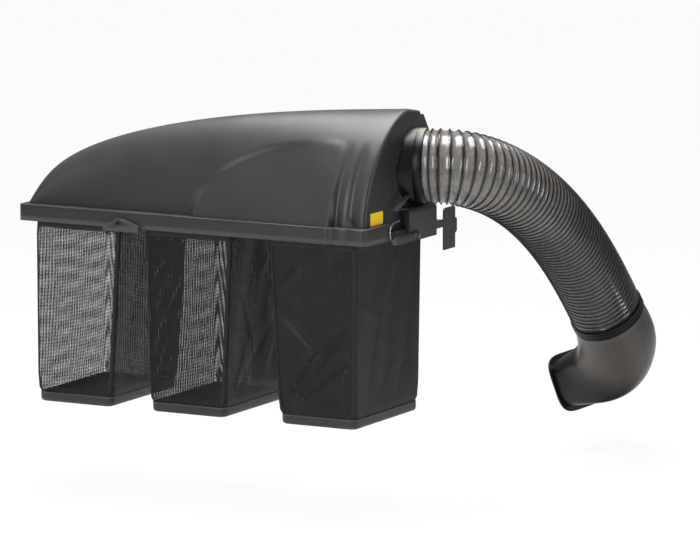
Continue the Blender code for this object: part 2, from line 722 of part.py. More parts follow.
def make_bumpers():
    """Rubber stops on the rails, which carry the hood's ledge."""
    foot, top = RAIL_TOP + SEAT_GAP, RIM_HEIGHT - HOOD_WALL - SEAT_GAP
    end_x = END_RAIL_OUT - BUMPER_RADIUS - BUMPER_INSET
    end_y = REAR_RAIL_FRONT + BUMPER_AHEAD
    places = {"end_left": (-end_x, end_y), "end_right": (end_x, end_y)}
    for side, (left, right) in bag_gaps().items():
        places["rear_" + side] = ((left + right) / 2, REAR_RAIL_BACK + TUBE / 2)
    for name, (x, y) in places.items():
        solid("bumper_" + name, *rod((x, y, foot), (x, y, top), BUMPER_RADIUS), RUBBER)


def make_hitch():
    """The hitch plate, two bent masts bolted to its rear, and the brace between them."""
    half = PLATE_WIDTH / 2
    low, high = MAST_FOOT, -HITCH_BELOW + PLATE_HEIGHT / 2
    plate = solid("hitch_plate", *block((-half, PLATE_REAR, low), (half, HITCH_AHEAD, high)),
                  BLACK_STEEL, smooth=False)
    holes, bolts, masts = [], [], []
    edge = MAST_SIZE / 2
    section = [(-edge, -edge), (edge, -edge), (edge, edge), (-edge, edge)]
    head = MAST_Y - edge - SEAT_GAP
    for side, x in (("left", -MAST_HALF_SPREAD), ("right", MAST_HALF_SPREAD)):
        turn = [(x, MAST_Y - MAST_BEND * (1 - math.cos(a)), MAST_TOP - MAST_BEND * (1 - math.sin(a)))
                for a in np.linspace(0, math.pi / 2, 6)]
        path = [(x, MAST_Y, MAST_FOOT)] + turn + [(x, FRONT_RAIL_FRONT + SEAT_GAP, MAST_TOP)]
        masts.append(solid("mast_" + side, *pipe(path, section, (1.0, 0.0, 0.0)), BLACK_STEEL, smooth=False))
        for z in (-HITCH_BELOW - BOLT_ROW, -HITCH_BELOW + BOLT_ROW):
            rear, front = (x, head - CUT_PAST, z), (x, HITCH_AHEAD + CUT_PAST, z)
            holes.append(rod(rear, front, BOLT_RADIUS + SEAT_GAP))
            bolts.append((x, z))
    tool = solid("bolt_holes", *merge(*holes), None)
    for part in [plate] + masts:
        combine(part, tool, "DIFFERENCE")
    steps = ((head - BOLT_HEAD_THICK, hexagon(BOLT_HEAD)), (head, hexagon(BOLT_HEAD)),
             (head, circle(BOLT_RADIUS, 12)), (HITCH_AHEAD - BOLT_SHORT, circle(BOLT_RADIUS, 12)))
    for number, (x, z) in enumerate(bolts, 1):
        rings = [[(x + a, y, z + b) for a, b in outline] for y, outline in steps]
        solid("hitch_bolt_" + str(number), *loft(rings), ZINC, smooth=False)
    gap = MAST_HALF_SPREAD - edge - SEAT_GAP
    solid("mast_brace", *block((-gap, MAST_Y - BRACE_THICK / 2, -BRACE_BELOW - BRACE_HEIGHT / 2),
                               (gap, MAST_Y + BRACE_THICK / 2, -BRACE_BELOW + BRACE_HEIGHT / 2)),
          BLACK_STEEL, smooth=False)


# Front housing
def wall_y(z, face):
    """The sloping front wall: its rear face, 0, or its front face, 1."""
    return front_edge(z - RIM_HEIGHT) + HOUSING_BACK + HOUSING_WALL * face


def wall_top(x):
    """The wall ends a little under the hood's front edge."""
    return roof_z(x, front_edge(ridge_height(x))) - HOUSING_UNDER


def collar_axis():
    turn = math.radians(COLLAR_TURN)
    return Vector((math.cos(turn), math.sin(turn), 0.0))


def make_housing():
    """One moulding: the front wall, the cheek beside the collar and the shelf under it."""
    foot = RAIL_TOP + SEAT_GAP
    left = DOME_LEFT + HOUSING_INSET
    places = np.linspace(left, CHEEK_OUT, WALL_COLUMNS + 1)
    upper = [(x, max(wall_top(x), foot + WALL_LEAST)) for x in places[:-2]]
    upper.append((CHEEK_OUT - HOUSING_WALL, min(wall_top(CHEEK_OUT), CHEEK_TOP)))
    upper.append((CHEEK_OUT, CHEEK_TOP))
    rings = []
    for x, top in upper:
        levels = np.linspace(foot, top, WALL_ROWS)
        rings.append([(x, wall_y(z, 0), z) for z in levels] + [(x, wall_y(z, 1), z) for z in levels[::-1]])
    housing = solid("front_housing", *loft(rings), DARK_PLASTIC)
    ledge_rear, ledge_front = FRONT_RAIL_REAR + FLANGE + ROOT, wall_y(foot, 0) + ROOT
    add(housing, "ledge", block((left, ledge_rear, foot), (CHEEK_OUT, ledge_front, foot + HOUSING_WALL)))

    cheek = []
    for k in range(CHEEK_STEPS):
        p = seam_point(k / CHEEK_STEPS)
        cheek.append((p.y - CHEEK_OVERLAP, p.z - CHEEK_UNDER * k / CHEEK_STEPS))
    cheek.insert(0, (cheek[0][0] - CHEEK_UNDER, foot))
    cheek += [(SEAM_TOP - CHEEK_OVERLAP, CHEEK_TOP - CHEEK_SHOULDER), (SEAM_TOP + CHEEK_UNDER, CHEEK_TOP)]
    cheek += [(wall_y(z, 0) + ROOT, z) for z in np.linspace(CHEEK_TOP, foot, WALL_ROWS)]
    add(housing, "cheek", prism(cheek, "x", CHEEK_OUT - HOUSING_WALL, CHEEK_OUT - FLUSH))

    root = CHEEK_OUT - ROOT
    turns = np.linspace(0, math.pi / 2, 5)
    centre = (SHELF_OUT - SHELF_ROUND, SHELF_TOP - SHELF_ROUND)
    arc = [(centre[0] + SHELF_ROUND * math.sin(a), centre[1] + SHELF_ROUND * math.cos(a)) for a in turns]
    bend = SHELF_ROUND - HOUSING_WALL
    inner_arc = [(centre[0] + bend * math.sin(a), centre[1] + bend * math.cos(a)) for a in turns[::-1]]
    awning = [(root, SHELF_TOP)] + arc + [(SHELF_OUT, SHELF_FOOT), (SHELF_OUT - HOUSING_WALL, SHELF_FOOT)]
    awning += inner_arc + [(root, SHELF_TOP - HOUSING_WALL)]
    add(housing, "shelf", prism(awning, "y", SHELF_REAR, SHELF_FRONT))
    top, out, rail_side = SHELF_TOP - ROOT, SHELF_OUT - ROOT, END_RAIL_OUT + 2 * SEAT_GAP
    cap = [(root, top), (centre[0], top), (out, centre[1]), (out, SHELF_FOOT), (rail_side, SHELF_FOOT),
           (rail_side, foot), (root, foot)]
    for name, y in (("rear", SHELF_REAR), ("front", SHELF_FRONT - HOUSING_WALL)):
        add(housing, "shelf_end_" + name, prism(cap, "y", y + FLUSH, y + HOUSING_WALL - FLUSH))
    web_front = SHELF_REAR + HOUSING_WALL
    gusset = [(root, SHELF_REAR - GUSSET_LENGTH), (root, web_front), (SHELF_OUT - GUSSET_SHORT, web_front)]
    add(housing, "gusset", prism(gusset, "z", SHELF_TOP - HOUSING_WALL, SHELF_TOP))

    axis = collar_axis()
    end = Vector(COLLAR_END)
    bore = loft([duct_ring(end + axis * along, axis, COLLAR_RADIUS + SEAT_GAP)
                 for along in (-COLLAR_IN - CUT_PAST, CUT_PAST)])
    combine(housing, solid("collar_hole", *bore, None), "DIFFERENCE")
    half = HINGE_PLATE / 2 + NOTCH_GAP
    for side, x in (("left", -HINGE_SPREAD), ("right", HINGE_SPREAD)):
        low = arm_floor(x) - NOTCH_BELOW
        notch = block((x - half, front_edge(ridge_height(x)) - CUT_PAST, low),
                      (x + half, HINGE_Y + CUT_PAST, low + NOTCH_HEIGHT))
        combine(housing, solid("arm_notch_" + side, *notch, None), "DIFFERENCE")


# Hood hinge
def arm_floor(x):
    """Lowest point of a hinge arm where it passes over the front wall."""
    return roof_z(x, front_edge(ridge_height(x))) - HOOD_WALL - ARM_UNDER_EDGE - ARM_HEIGHT


def make_arm(side, x):
    """A strip fixed under the roof, which leaves over the front wall and ends in an eye on the hinge line."""
    low, high = x - HINGE_PLATE / 2, x + HINGE_PLATE / 2

    def under_roof(y):
        return min(roof_z(low, y), roof_z(high, y)) - HOOD_WALL - ARM_UNDER_ROOF

    floor = arm_floor(x)
    top = floor + ARM_HEIGHT
    edge = front_edge(ridge_height(x))
    tail, lap = edge - ARM_REACH, edge - ROOT
    neck = HINGE_Y + ARM_NECK
    pad = [(neck, floor), (neck, top), (edge, top), (lap, under_roof(lap)), (tail, under_roof(tail)),
           (tail, under_roof(tail) - ARM_THICK), (edge - ARM_SLOPE, floor)]
    arm = solid("hinge_arm_" + side, *prism(pad, "x", low, high), BLACK_STEEL, HINGE_PIVOT, smooth=False)
    pivot, head = Vector((HINGE_Y, HINGE_Z)), Vector((HINGE_Y - ARM_NECK, (floor + top) / 2))
    along = (head - pivot).normalized()
    across = Vector((-along.y, along.x)) * ARM_HEIGHT / 2
    strip = [tuple(p) for p in (pivot + across, head + across, head - across, pivot - across)]
    add(arm, "arm_strip_" + side, prism(strip, "x", low, high))
    eye = [(HINGE_Y + a, HINGE_Z + b) for a, b in circle(HINGE_EYE, 16)]
    add(arm, "arm_eye_" + side, prism(eye, "x", low, high))
    return arm


def make_post(side, low, high):
    """A plate that stands on the front rail's front face, clear of the housing, up to its own eye."""
    turns = np.radians(np.linspace(10, 190, 7))
    outline = [(HINGE_Y + HINGE_EYE * math.cos(a), HINGE_Z + HINGE_EYE * math.sin(a)) for a in turns]
    levels = np.linspace(HINGE_Z, RAIL_TOP + POST_SHOULDER, 4)[1:]
    outline += [(wall_y(z, 1) + POST_WALL_GAP, z) for z in levels]
    rear, foot = FRONT_RAIL_FRONT + SEAT_GAP, RAIL_TOP - FRONT_RAIL_HEIGHT
    outline += [(rear, RAIL_TOP), (rear, foot), (rear + POST_FOOT, foot),
                (rear + POST_FOOT + POST_FLARE, RAIL_TOP + POST_TOE)]
    return solid("hinge_post_" + side, *prism(outline, "x", low, high), BLACK_STEEL, smooth=False)


def make_hinges():
    """Each side of the hinge: an arm on the hood, a post on the rail and a headed pin through both."""
    for side, x in (("left", -HINGE_SPREAD), ("right", HINGE_SPREAD)):
        arm = make_arm(side, x)
        post_x = x + math.copysign(HINGE_PLATE + RUN_GAP, x)
        post = make_post(side, post_x - HINGE_PLATE / 2, post_x + HINGE_PLATE / 2)
        low, high = min(x, post_x) - HINGE_PLATE / 2, max(x, post_x) + HINGE_PLATE / 2
        start, end = (low - CUT_PAST, HINGE_Y, HINGE_Z), (high + CUT_PAST, HINGE_Y, HINGE_Z)
        tool = solid("pin_hole_" + side, *rod(start, end, HINGE_PIN + SEAT_GAP), None)
        combine(arm, tool, "DIFFERENCE")
        combine(post, tool, "DIFFERENCE")
        first, last = low - RUN_GAP, high + RUN_GAP
        steps = ((first - PIN_HEAD_THICK, PIN_HEAD), (first, PIN_HEAD), (first, HINGE_PIN),
                 (last, HINGE_PIN), (last, PIN_HEAD), (last + PIN_HEAD_THICK, PIN_HEAD))
        rings = [[(out, HINGE_Y + a, HINGE_Z + b) for a, b in circle(radius, 12)] for out, radius in steps]
        solid("hinge_pin_" + side, *loft(rings), ZINC)


def make_side_stay():
    """The upright plate at the duct side, with its tab on the front rail's end."""
    x = END_RAIL_OUT + SEAT_GAP
    start, rear = FRONT_RAIL_FRONT - STAY_TAB, FRONT_RAIL_FRONT + STAY_AHEAD
    rail_foot = RAIL_TOP - FRONT_RAIL_HEIGHT
    front = rear + STAY_WIDTH
    ear = front + STAY_EAR
    outline = [(start, rail_foot), (rear, rail_foot), (rear, -STAY_DROP), (front, -STAY_DROP),
               (front, STAY_EAR_FOOT - STAY_BEVEL), (ear, STAY_EAR_FOOT), (ear, STAY_EAR_TOP),
               (front, STAY_EAR_TOP + STAY_BEVEL), (front, STAY_RISE - STAY_BEVEL),
               (front - STAY_BEVEL, STAY_RISE), (rear + STAY_BEVEL, STAY_RISE),
               (rear, STAY_RISE - STAY_BEVEL), (rear, RAIL_TOP), (start, RAIL_TOP)]
    solid("side_stay", *prism(outline, "x", x, x + STAY_THICK), BLACK_STEEL, smooth=False)


# Duct
def duct_ring(point, aim, radius):
    """A ring of the duct; rings of one place and aim fit inside one another."""
    side, up = frame_of(Vector(aim), DUCT_UP)
    return [Vector(point) + side * a + up * b for a, b in circle(radius, DUCT_SIDES)]


def make_collar():
    """The inlet ring: a collar through the housing's cheek, and a smaller spigot inside the hose."""
    axis = collar_axis()
    end = Vector(COLLAR_END)
    spigot_out = HOSE_BORE - SEAT_GAP
    spigot_in = spigot_out - SPIGOT_WALL
    bore = COLLAR_RADIUS - COLLAR_WALL
    section = ((-COLLAR_IN, COLLAR_RADIUS), (-2 * COLLAR_EDGE, COLLAR_RADIUS),
               (0.0, COLLAR_RADIUS - COLLAR_EDGE), (0.0, spigot_out),
               (SPIGOT, spigot_out), (SPIGOT, spigot_in),
               (-COLLAR_STEP, spigot_in), (-2 * COLLAR_STEP, bore), (-COLLAR_IN, bore))
    rings = [duct_ring(end + axis * along, axis, radius) for along, radius in section]
    solid("inlet_collar", *loft(rings, loop=True), COLLAR_PLASTIC)


def hose_route(steps, lead):
    """Points and directions along the duct: straight over each spigot, and one curve between."""
    axis = collar_axis()
    start = Vector(COLLAR_END) + axis * SEAT_GAP
    aim = Vector(HOSE_END_AIM).normalized()
    end = Vector(HOSE_END)
    bend_start, bend_end = start + axis * HOSE_LEAD, end - aim * HOSE_LEAD
    points, aims = bezier(bend_start, start + axis * HOSE_REACH, end - aim * HOSE_END_REACH, bend_end,
                          steps - 2 * lead + 1)
    before = [start + axis * HOSE_LEAD * k / lead for k in range(lead)]
    after = [bend_end + aim * HOSE_LEAD * (k + 1) / lead for k in range(lead)]
    return before + list(points) + after, [axis] * lead + list(aims) + [aim] * lead


def make_hose():
    """The corrugated duct: ribs on the outside, a smooth bore inside."""
    radii = (HOSE_VALLEY, HOSE_CREST)
    outer = [duct_ring(p, aim, radii[k % 2]) for k, (p, aim) in enumerate(zip(*hose_route(2 * HOSE_RIBS, 3)))]
    inner = [duct_ring(p, aim, HOSE_BORE) for p, aim in zip(*hose_route(HOSE_RIBS // 2, 1))]
    solid("hose", *loft(outer + inner[::-1], loop=True), CLEAR_HOSE)


def make_cuff():
    """A rubber band round the hose's lower end."""
    aim = Vector(HOSE_END_AIM).normalized()
    end = Vector(HOSE_END)
    inner = HOSE_CREST + RUN_GAP
    outer = inner + CUFF_THICK
    rings = [duct_ring(end - aim * back, aim, radius)
             for back, radius in ((CUFF_LENGTH, inner), (CUFF_LENGTH, outer), (0.0, outer), (0.0, inner))]
    solid("hose_cuff", *loft(rings, loop=True), RUBBER)


def chute_ring(point, aim, across, half_across, half_over, power):
    """A ring of the chute, between an ellipse and a round-cornered rectangle."""
    across = (across - aim * across.dot(aim)).normalized()
    over = aim.cross(across)
    shape = []
    for k in range(DUCT_SIDES):
        turn = 2 * math.pi * k / DUCT_SIDES
        c, s = math.cos(turn), math.sin(turn)
        shape.append(point + across * half_across * math.copysign(abs(c) ** (2 / power), c)
                     + over * half_over * math.copysign(abs(s) ** (2 / power), s))
    return shape


def make_chute():
    """The moulded chute: round where it enters the hose, turning and flattening towards the deck."""
    neck_aim = Vector(HOSE_END_AIM).normalized()
    start = Vector(HOSE_END) + neck_aim * RUN_GAP
    neck_across = frame_of(neck_aim, DUCT_UP)[1]
    mouth, mouth_aim = Vector(CHUTE_MOUTH), Vector(CHUTE_MOUTH_AIM).normalized()
    mouth_across = Vector((0.0, 1.0, 0.0))
    half_across, half_over = CHUTE_MOUTH_HALF
    neck = HOSE_BORE - SEAT_GAP
    bore = neck - CHUTE_WALL

    def round_ring(ahead, radius):
        return chute_ring(start + neck_aim * ahead, neck_aim, neck_across, radius, radius, CHUTE_ROUND)

    def mouth_ring(ahead, grow):
        return chute_ring(mouth + mouth_aim * ahead, mouth_aim, mouth_across,
                          half_across + grow, half_over + grow, CHUTE_SQUARE)

    outer = [round_ring(-SPIGOT, neck), round_ring(0.0, neck), round_ring(0.0, HOSE_CREST)]
    inner = [round_ring(-SPIGOT, bore), round_ring(0.0, bore)]
    path, aims = bezier(start, start + neck_aim * CHUTE_NECK_REACH,
                        mouth - mouth_aim * CHUTE_MOUTH_REACH, mouth, CHUTE_RINGS + 1)
    for k in range(1, CHUTE_RINGS + 1):
        share = k / CHUTE_RINGS
        blend = ease(share)
        across = HOSE_CREST + (half_across - HOSE_CREST) * blend
        over = HOSE_CREST + (half_over - HOSE_CREST) * blend + CHUTE_BULGE * math.sin(math.pi * share)
        power = CHUTE_ROUND + (CHUTE_SQUARE - CHUTE_ROUND) * blend
        lie = neck_across.lerp(mouth_across, blend)
        place, aim = Vector(path[k]), Vector(aims[k])
        outer.append(chute_ring(place, aim, lie, across, over, power))
        inner.append(chute_ring(place, aim, lie, across - CHUTE_WALL, over - CHUTE_WALL, power))
    outer += [mouth_ring(0.0, CHUTE_FLANGE), mouth_ring(CHUTE_FLANGE_THICK, CHUTE_FLANGE)]
    inner.append(mouth_ring(CHUTE_FLANGE_THICK, -CHUTE_WALL))
    solid("lower_chute", *loft(outer + inner[::-1], loop=True), CHUTE_PLASTIC)


# Side latch
def make_lever():
    """The ribbed lever, with holes for its pin and for the hook's axle."""
    turns = np.radians(np.linspace(-80, 80, 7))
    bar = [(LATCH_Y + LATCH_HALF * math.cos(a), LATCH_Z + LATCH_HALF * math.sin(a)) for a in turns]
    shoulder, tip, shank = HOOK_Y + LATCH_TAPER, HOOK_Y - LATCH_TIP, LATCH_Y - LATCH_TAPER
    bar += [(shank, LATCH_Z + LATCH_HALF), (shoulder, LATCH_Z + LATCH_HALF),
            (tip + LATCH_TIP_HALF / 2, LATCH_Z + LATCH_TIP_HALF), (tip, LATCH_Z),
            (tip + LATCH_TIP_HALF / 2, LATCH_Z - LATCH_TIP_HALF), (shoulder, LATCH_Z - LATCH_HALF),
            (shank, LATCH_Z - LATCH_HALF)]
    lever = solid("latch_lever", *prism(bar, "x", LATCH_IN, LATCH_OUT), BLACK_PLASTIC,
                  (0.0, LATCH_Y, LATCH_Z), smooth=False)
    half = LATCH_HALF - RIB_INSET
    rears = np.linspace(HOOK_Y + RIB_START, LATCH_Y - RIB_END, LATCH_RIBS)
    inner, outer = LATCH_OUT - ROOT, LATCH_OUT + RIB_HEIGHT
    ribs = [block((inner, y, LATCH_Z - half), (outer, y + RIB_WIDTH, LATCH_Z + half)) for y in rears]
    add(lever, "lever_ribs", merge(*ribs))
    return lever


def make_side_latch():
    """A bracket on the shelf, the lever on its pin, and a bent wire hook in the lever's rear end."""
    half_y, half_z = BRACKET_HALF
    inside = SHELF_OUT + SEAT_GAP
    bracket = solid("latch_bracket", *block((inside, LATCH_Y - half_y, LATCH_Z - half_z),
                                            (inside + BRACKET_THICK, LATCH_Y + half_y, LATCH_Z + half_z)),
                    BLACK_STEEL, smooth=False)
    lever = make_lever()
    low, high = LATCH_IN - CUT_PAST, LATCH_OUT + CUT_PAST
    pin_hole = rod((low, LATCH_Y, LATCH_Z), (high, LATCH_Y, LATCH_Z), LATCH_PIN + SEAT_GAP)
    tool = solid("lever_pin_hole", *pin_hole, None)
    combine(lever, tool, "DIFFERENCE")
    combine(bracket, tool, "DIFFERENCE")
    axle_hole = rod((low, HOOK_Y, LATCH_Z), (high, HOOK_Y, LATCH_Z), HOOK_WIRE + SEAT_GAP, 8)
    combine(lever, solid("hook_axle_hole", *axle_hole, None), "DIFFERENCE")
    cap = LATCH_OUT + SEAT_GAP
    steps = ((inside, LATCH_PIN), (cap, LATCH_PIN), (cap, LATCH_CAP), (cap + LATCH_CAP_THICK, LATCH_CAP))
    rings = [[(x, LATCH_Y + a, LATCH_Z + b) for a, b in circle(radius, 12)] for x, radius in steps]
    solid("latch_pin", *loft(rings), ZINC)

    wire_x = HOOD_HALF_WIDTH + HOOK_WIRE + SEAT_GAP
    turns = np.radians(np.linspace(205, 95, 7))
    centre_y, centre_z = HOOK_Y + HOOK_CENTRE[0], LATCH_Z + HOOK_CENTRE[1]
    reach, rise = HOOK_BOW
    bow = [(wire_x, centre_y + reach * math.cos(a), centre_z + rise * math.sin(a)) for a in turns]
    path = [(LATCH_OUT + HOOK_END, HOOK_Y, LATCH_Z), (wire_x, HOOK_Y, LATCH_Z)] + bow
    path.append((wire_x, HOOK_Y + HOOK_TAIL[0], LATCH_Z + HOOK_TAIL[1]))
    solid("latch_hook", *pipe(path, circle(HOOK_WIRE - SEAT_GAP, 6)), ZINC, (0.0, HOOK_Y, LATCH_Z))


def build():
    for thing in list(bpy.data.objects):
        bpy.data.objects.remove(thing, do_unlink=True)
    make_hood()
    make_lift_handle()
    for side, centre, lean in BAGS:
        make_bag(side, centre, lean)
    make_rails()
    make_bumpers()
    make_hitch()
    make_housing()
    make_hinges()
    make_side_stay()
    make_collar()
    make_hose()
    make_cuff()
    make_chute()
    make_side_latch()


build()
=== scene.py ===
# Triple bagger, dressed: every surface gets its finish, and the moulded and soft pieces their fine shape.
# Metres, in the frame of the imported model. Shapes are written from the rim's rear lower edge and then placed.
import math

import bmesh
import bpy
import numpy as np
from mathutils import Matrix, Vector


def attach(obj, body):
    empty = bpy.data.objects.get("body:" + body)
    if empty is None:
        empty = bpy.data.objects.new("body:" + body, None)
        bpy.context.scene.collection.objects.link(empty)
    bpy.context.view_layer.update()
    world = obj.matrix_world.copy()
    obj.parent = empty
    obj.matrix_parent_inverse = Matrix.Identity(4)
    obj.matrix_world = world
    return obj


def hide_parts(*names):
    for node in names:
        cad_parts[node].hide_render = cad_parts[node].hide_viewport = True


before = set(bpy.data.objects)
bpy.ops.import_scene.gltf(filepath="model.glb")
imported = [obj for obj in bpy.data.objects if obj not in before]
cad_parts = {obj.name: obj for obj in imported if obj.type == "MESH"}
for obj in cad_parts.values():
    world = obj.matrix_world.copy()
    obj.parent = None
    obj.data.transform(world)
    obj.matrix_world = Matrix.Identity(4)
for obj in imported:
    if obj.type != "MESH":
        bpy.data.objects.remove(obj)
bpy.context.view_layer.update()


# The hood: one black moulded shell, 4 mm thick, with a ledge and an upright band round its rim.
# A panel is pressed into its rear face, and two soft upright grooves run beside it.
RIM_PLACE = np.array([0.0, -0.70, 0.50])
RIM_HALF_WIDTH, RIM_HEIGHT = 0.640, 0.053
RIM_CORNER, RIM_EDGE = 0.020, 0.003
LEDGE = 0.030
HOOD_WALL = 0.004
DOME_LEFT, DOME_RIGHT, DOME_HEIGHT, DOME_POWER = -0.617, 0.608, 0.349, 2.26
RIDGE_TILT = 0.094
REAR_RIGHT, REAR_LEFT, REAR_SPREAD, REAR_POWER = 0.307, 0.080, 0.70, 1.70
FRONT_FOOT, FRONT_TOP = 0.530, 0.415
ROOF_FALL = 0.175
GROOVES = ((0.518, 0.011, 0.007), (0.568, 0.014, 0.009))
GROOVE_TOP, GROOVE_FADE, GROOVE_IN_BAND = 0.27, 0.08, 0.5
PANEL_TURN, PANEL_LEFT, PANEL_RIGHT, PANEL_TOP = 0.470, 0.495, 0.037, 0.265
PANEL_FOOT, PANEL_LEAN, PANEL_LEAN_POWER = 0.008, 0.130, 1.35
PANEL_STEP, STEP_LEFT, STEP_RIGHT = 0.0035, -0.064, 0.507
CHEEK, CREST_TURN = 0.622, 0.014
SEAM_FOOT, SEAM_TOP, SEAM_FRONT, SEAM_DROP = 0.172, 0.315, 0.400, 0.051
MERGE = 1e-6


def skin(name, points, closed=False, extra_points=None, extra_faces=None):
    """A mesh through a grid of points: neighbouring rows and columns make four-sided faces.
    A closed grid joins its last column to its first; extra points and faces follow the grid's own."""
    rows, columns = points.shape[:2]
    index = np.arange(rows * columns).reshape(rows, columns)
    if closed:
        index = np.hstack([index, index[:, :1]])
    faces = np.stack([index[:-1, :-1], index[:-1, 1:], index[1:, 1:], index[1:, :-1]], axis=-1).reshape(-1, 4)
    places = points.reshape(-1, 3)
    if extra_points is not None:
        places = np.vstack([places, extra_points])
        faces = np.vstack([faces, extra_faces])
    mesh = bpy.data.meshes.new(name)
    mesh.from_pydata((places + RIM_PLACE).tolist(), [], faces.tolist())
    return mesh


def make_piece(name, mesh, material, outward=None, sharp=40.0):
    """Joins doubled points, turns the faces outwards, shades them smooth and makes the object."""
    shape = bmesh.new()
    shape.from_mesh(mesh)
    bmesh.ops.remove_doubles(shape, verts=shape.verts, dist=MERGE)
    bmesh.ops.dissolve_degenerate(shape, edges=shape.edges, dist=MERGE)
    bmesh.ops.recalc_face_normals(shape, faces=shape.faces)
    if outward is not None:
        middle = Vector(outward)
        facing = sum((f.calc_center_median() - middle).dot(f.normal) * f.calc_area() for f in shape.faces)
        if facing < 0:
            bmesh.ops.reverse_faces(shape, faces=shape.faces)
    shape.to_mesh(mesh)
    shape.free()
    mesh.shade_smooth()
    mesh.set_sharp_from_angle(angle=math.radians(sharp))
    piece = bpy.data.objects.new(name, mesh)
    bpy.context.scene.collection.objects.link(piece)
    mesh.materials.append(material)
    return piece


def feed(tree, target, sources):
    """Feeds a node's sockets, by name or number: an output is linked, and anything else is set."""
    for key, source in sources.items():
        if isinstance(source, bpy.types.NodeSocket):
            tree.links.new(source, target.inputs[key])
        else:
            target.inputs[key].default_value = source


def node(tree, kind, sources=None, **settings):
    """Adds a node with its settings, feeds its sockets and returns it."""
    made = tree.nodes.new(kind)
    for key, value in settings.items():
        setattr(made, key, value)
    feed(tree, made, sources or {})
    return made


def calc(tree, operation, *values):
    """The outcome of one sum on values."""
    return node(tree, "ShaderNodeMath", dict(enumerate(values)), operation=operation).outputs[0]


def shift(tree, operation, *vectors):
    """The outcome of one sum on colours or places."""
    return node(tree, "ShaderNodeVectorMath", dict(enumerate(vectors)), operation=operation).outputs[0]


def ranged(tree, value, low, high, to_low=0.0, to_high=1.0, **settings):
    """A value carried from one range to another and held inside it."""
    made = node(tree, "ShaderNodeMapRange", {"Value": value, "From Min": low, "From Max": high,
                                             "To Min": to_low, "To Max": to_high}, **settings)
    return made.outputs["Result"]


def blend(tree, share, first, second):
    """A colour between two, by a share."""
    made = node(tree, "ShaderNodeMix", {"Factor": share, "A": first, "B": second}, data_type="RGBA")
    return made.outputs["Result"]


def noise(tree, place, scale, detail, output="Fac"):
    """Soft clouds over a place, as a value or as a colour."""
    made = node(tree, "ShaderNodeTexNoise", {"Vector": place, "Scale": scale, "Detail": detail})
    return made.outputs[output]


def bumped(tree, height, strength, depth):
    """The normal of a surface with a fine relief."""
    return node(tree, "ShaderNodeBump", {"Height": height, "Strength": strength, "Distance": depth}).outputs["Normal"]


def effect(name, inputs, outputs):
    """A node group with named sockets; returns its tree, what it is given and its output node."""
    tree = bpy.data.node_groups.new(name, "ShaderNodeTree")
    for title, kind, value in inputs:
        made = tree.interface.new_socket(title, in_out="INPUT", socket_type="NodeSocket" + kind)
        made.default_value = value
    for title, kind in outputs:
        tree.interface.new_socket(title, in_out="OUTPUT", socket_type="NodeSocket" + kind)
    return tree, tree.nodes.new("NodeGroupInput").outputs, tree.nodes.new("NodeGroupOutput")


def new_material(name):
    """A material, its nodes and its shader."""
    material = bpy.data.materials.new(name)
    material.use_nodes = True
    return material, material.node_tree, material.node_tree.nodes["Principled BSDF"]


def screen(red, green, blue):
    """A colour as it is seen on a screen, 0 to 255, as the shader wants it."""
    parts = [((c / 255 + 0.055) / 1.055) ** 2.4 for c in (red, green, blue)]
    return (*parts, 1.0)


def moulded_surface():
    """Moulded plastic: fine leather grain, faint cloudy shade, pale rubbed edges, and a pale coat on what faces up
    that is dust at a small share and a painted highlight at a large one.
    """
    tree, given, out = effect("moulded_surface",
                              [("Colour", "Color", (0.05, 0.05, 0.05, 1.0)), ("Grain", "Float", 900.0),
                               ("Dust_and_highlight", "Float", 0.1), ("Upward_from", "Float", 0.2), ("Wear", "Float", 0.3),
                               ("Roughness", "Float", 0.45)],
                              [("Colour", "Color"), ("Roughness", "Float"), ("Height", "Float")])
    place = node(tree, "ShaderNodeTexCoord").outputs["Object"]
    grain = node(tree, "ShaderNodeTexVoronoi", {"Vector": place, "Scale": given["Grain"]}).outputs["Distance"]
    fine = noise(tree, place, 260.0, 3.0)
    cloud = noise(tree, place, 6.0, 4.0)
    clouded = shift(tree, "MULTIPLY", given["Colour"], ranged(tree, cloud, 0.3, 0.7, 0.90, 1.10))
    surface = node(tree, "ShaderNodeNewGeometry").outputs
    edge = ranged(tree, surface["Pointiness"], 0.52, 0.60)
    worn = blend(tree, calc(tree, "MULTIPLY", edge, given["Wear"]), clouded, screen(120, 117, 117))
    upward = node(tree, "ShaderNodeSeparateXYZ", {0: surface["Normal"]}).outputs["Z"]
    # Pale on what faces up: dust at small shares, a painted top highlight at large ones, as on the collar.
    patchy = calc(tree, "MULTIPLY", ranged(tree, upward, given["Upward_from"], 1.0), cloud)
    dust_and_highlight_share = calc(tree, "MULTIPLY", patchy, given["Dust_and_highlight"])
    rough = ranged(tree, fine, 0.0, 1.0, -0.06, 0.06)
    feed(tree, out, {"Colour": blend(tree, dust_and_highlight_share, worn, screen(176, 170, 164)),
                     "Roughness": calc(tree, "ADD", given["Roughness"], rough),
                     "Height": calc(tree, "ADD", grain, fine)})
    return tree


MOULDED = moulded_surface()


def moulded(name, colour, roughness, dust_and_top_highlight=0.1, upward_from=0.2, wear=0.3, grain=900.0, depth=0.0004, strength=0.25,
            specular=0.5):
    """A material of moulded plastic with its own colour, gloss and grain."""
    material, tree, shader = new_material(name)
    surface = node(tree, "ShaderNodeGroup", {"Colour": colour, "Grain": grain, "Dust_and_highlight": dust_and_top_highlight, "Upward_from": upward_from,
                                             "Wear": wear, "Roughness": roughness}, node_tree=MOULDED).outputs
    feed(tree, shader, {"Base Color": surface["Colour"], "Roughness": surface["Roughness"],
                        "Normal": bumped(tree, surface["Height"], strength, depth), "Specular IOR Level": specular})
    return material


def ease(share):
    """0 to 1 with a soft start and a soft end."""
    share = np.clip(share, 0.0, 1.0)
    return share * share * (3 - 2 * share)


def dome_share(x):
    """0 at the dome's right end, 1 at its left foot."""
    return np.clip((DOME_RIGHT - x) / (DOME_RIGHT - DOME_LEFT), 0.0, 1.0)


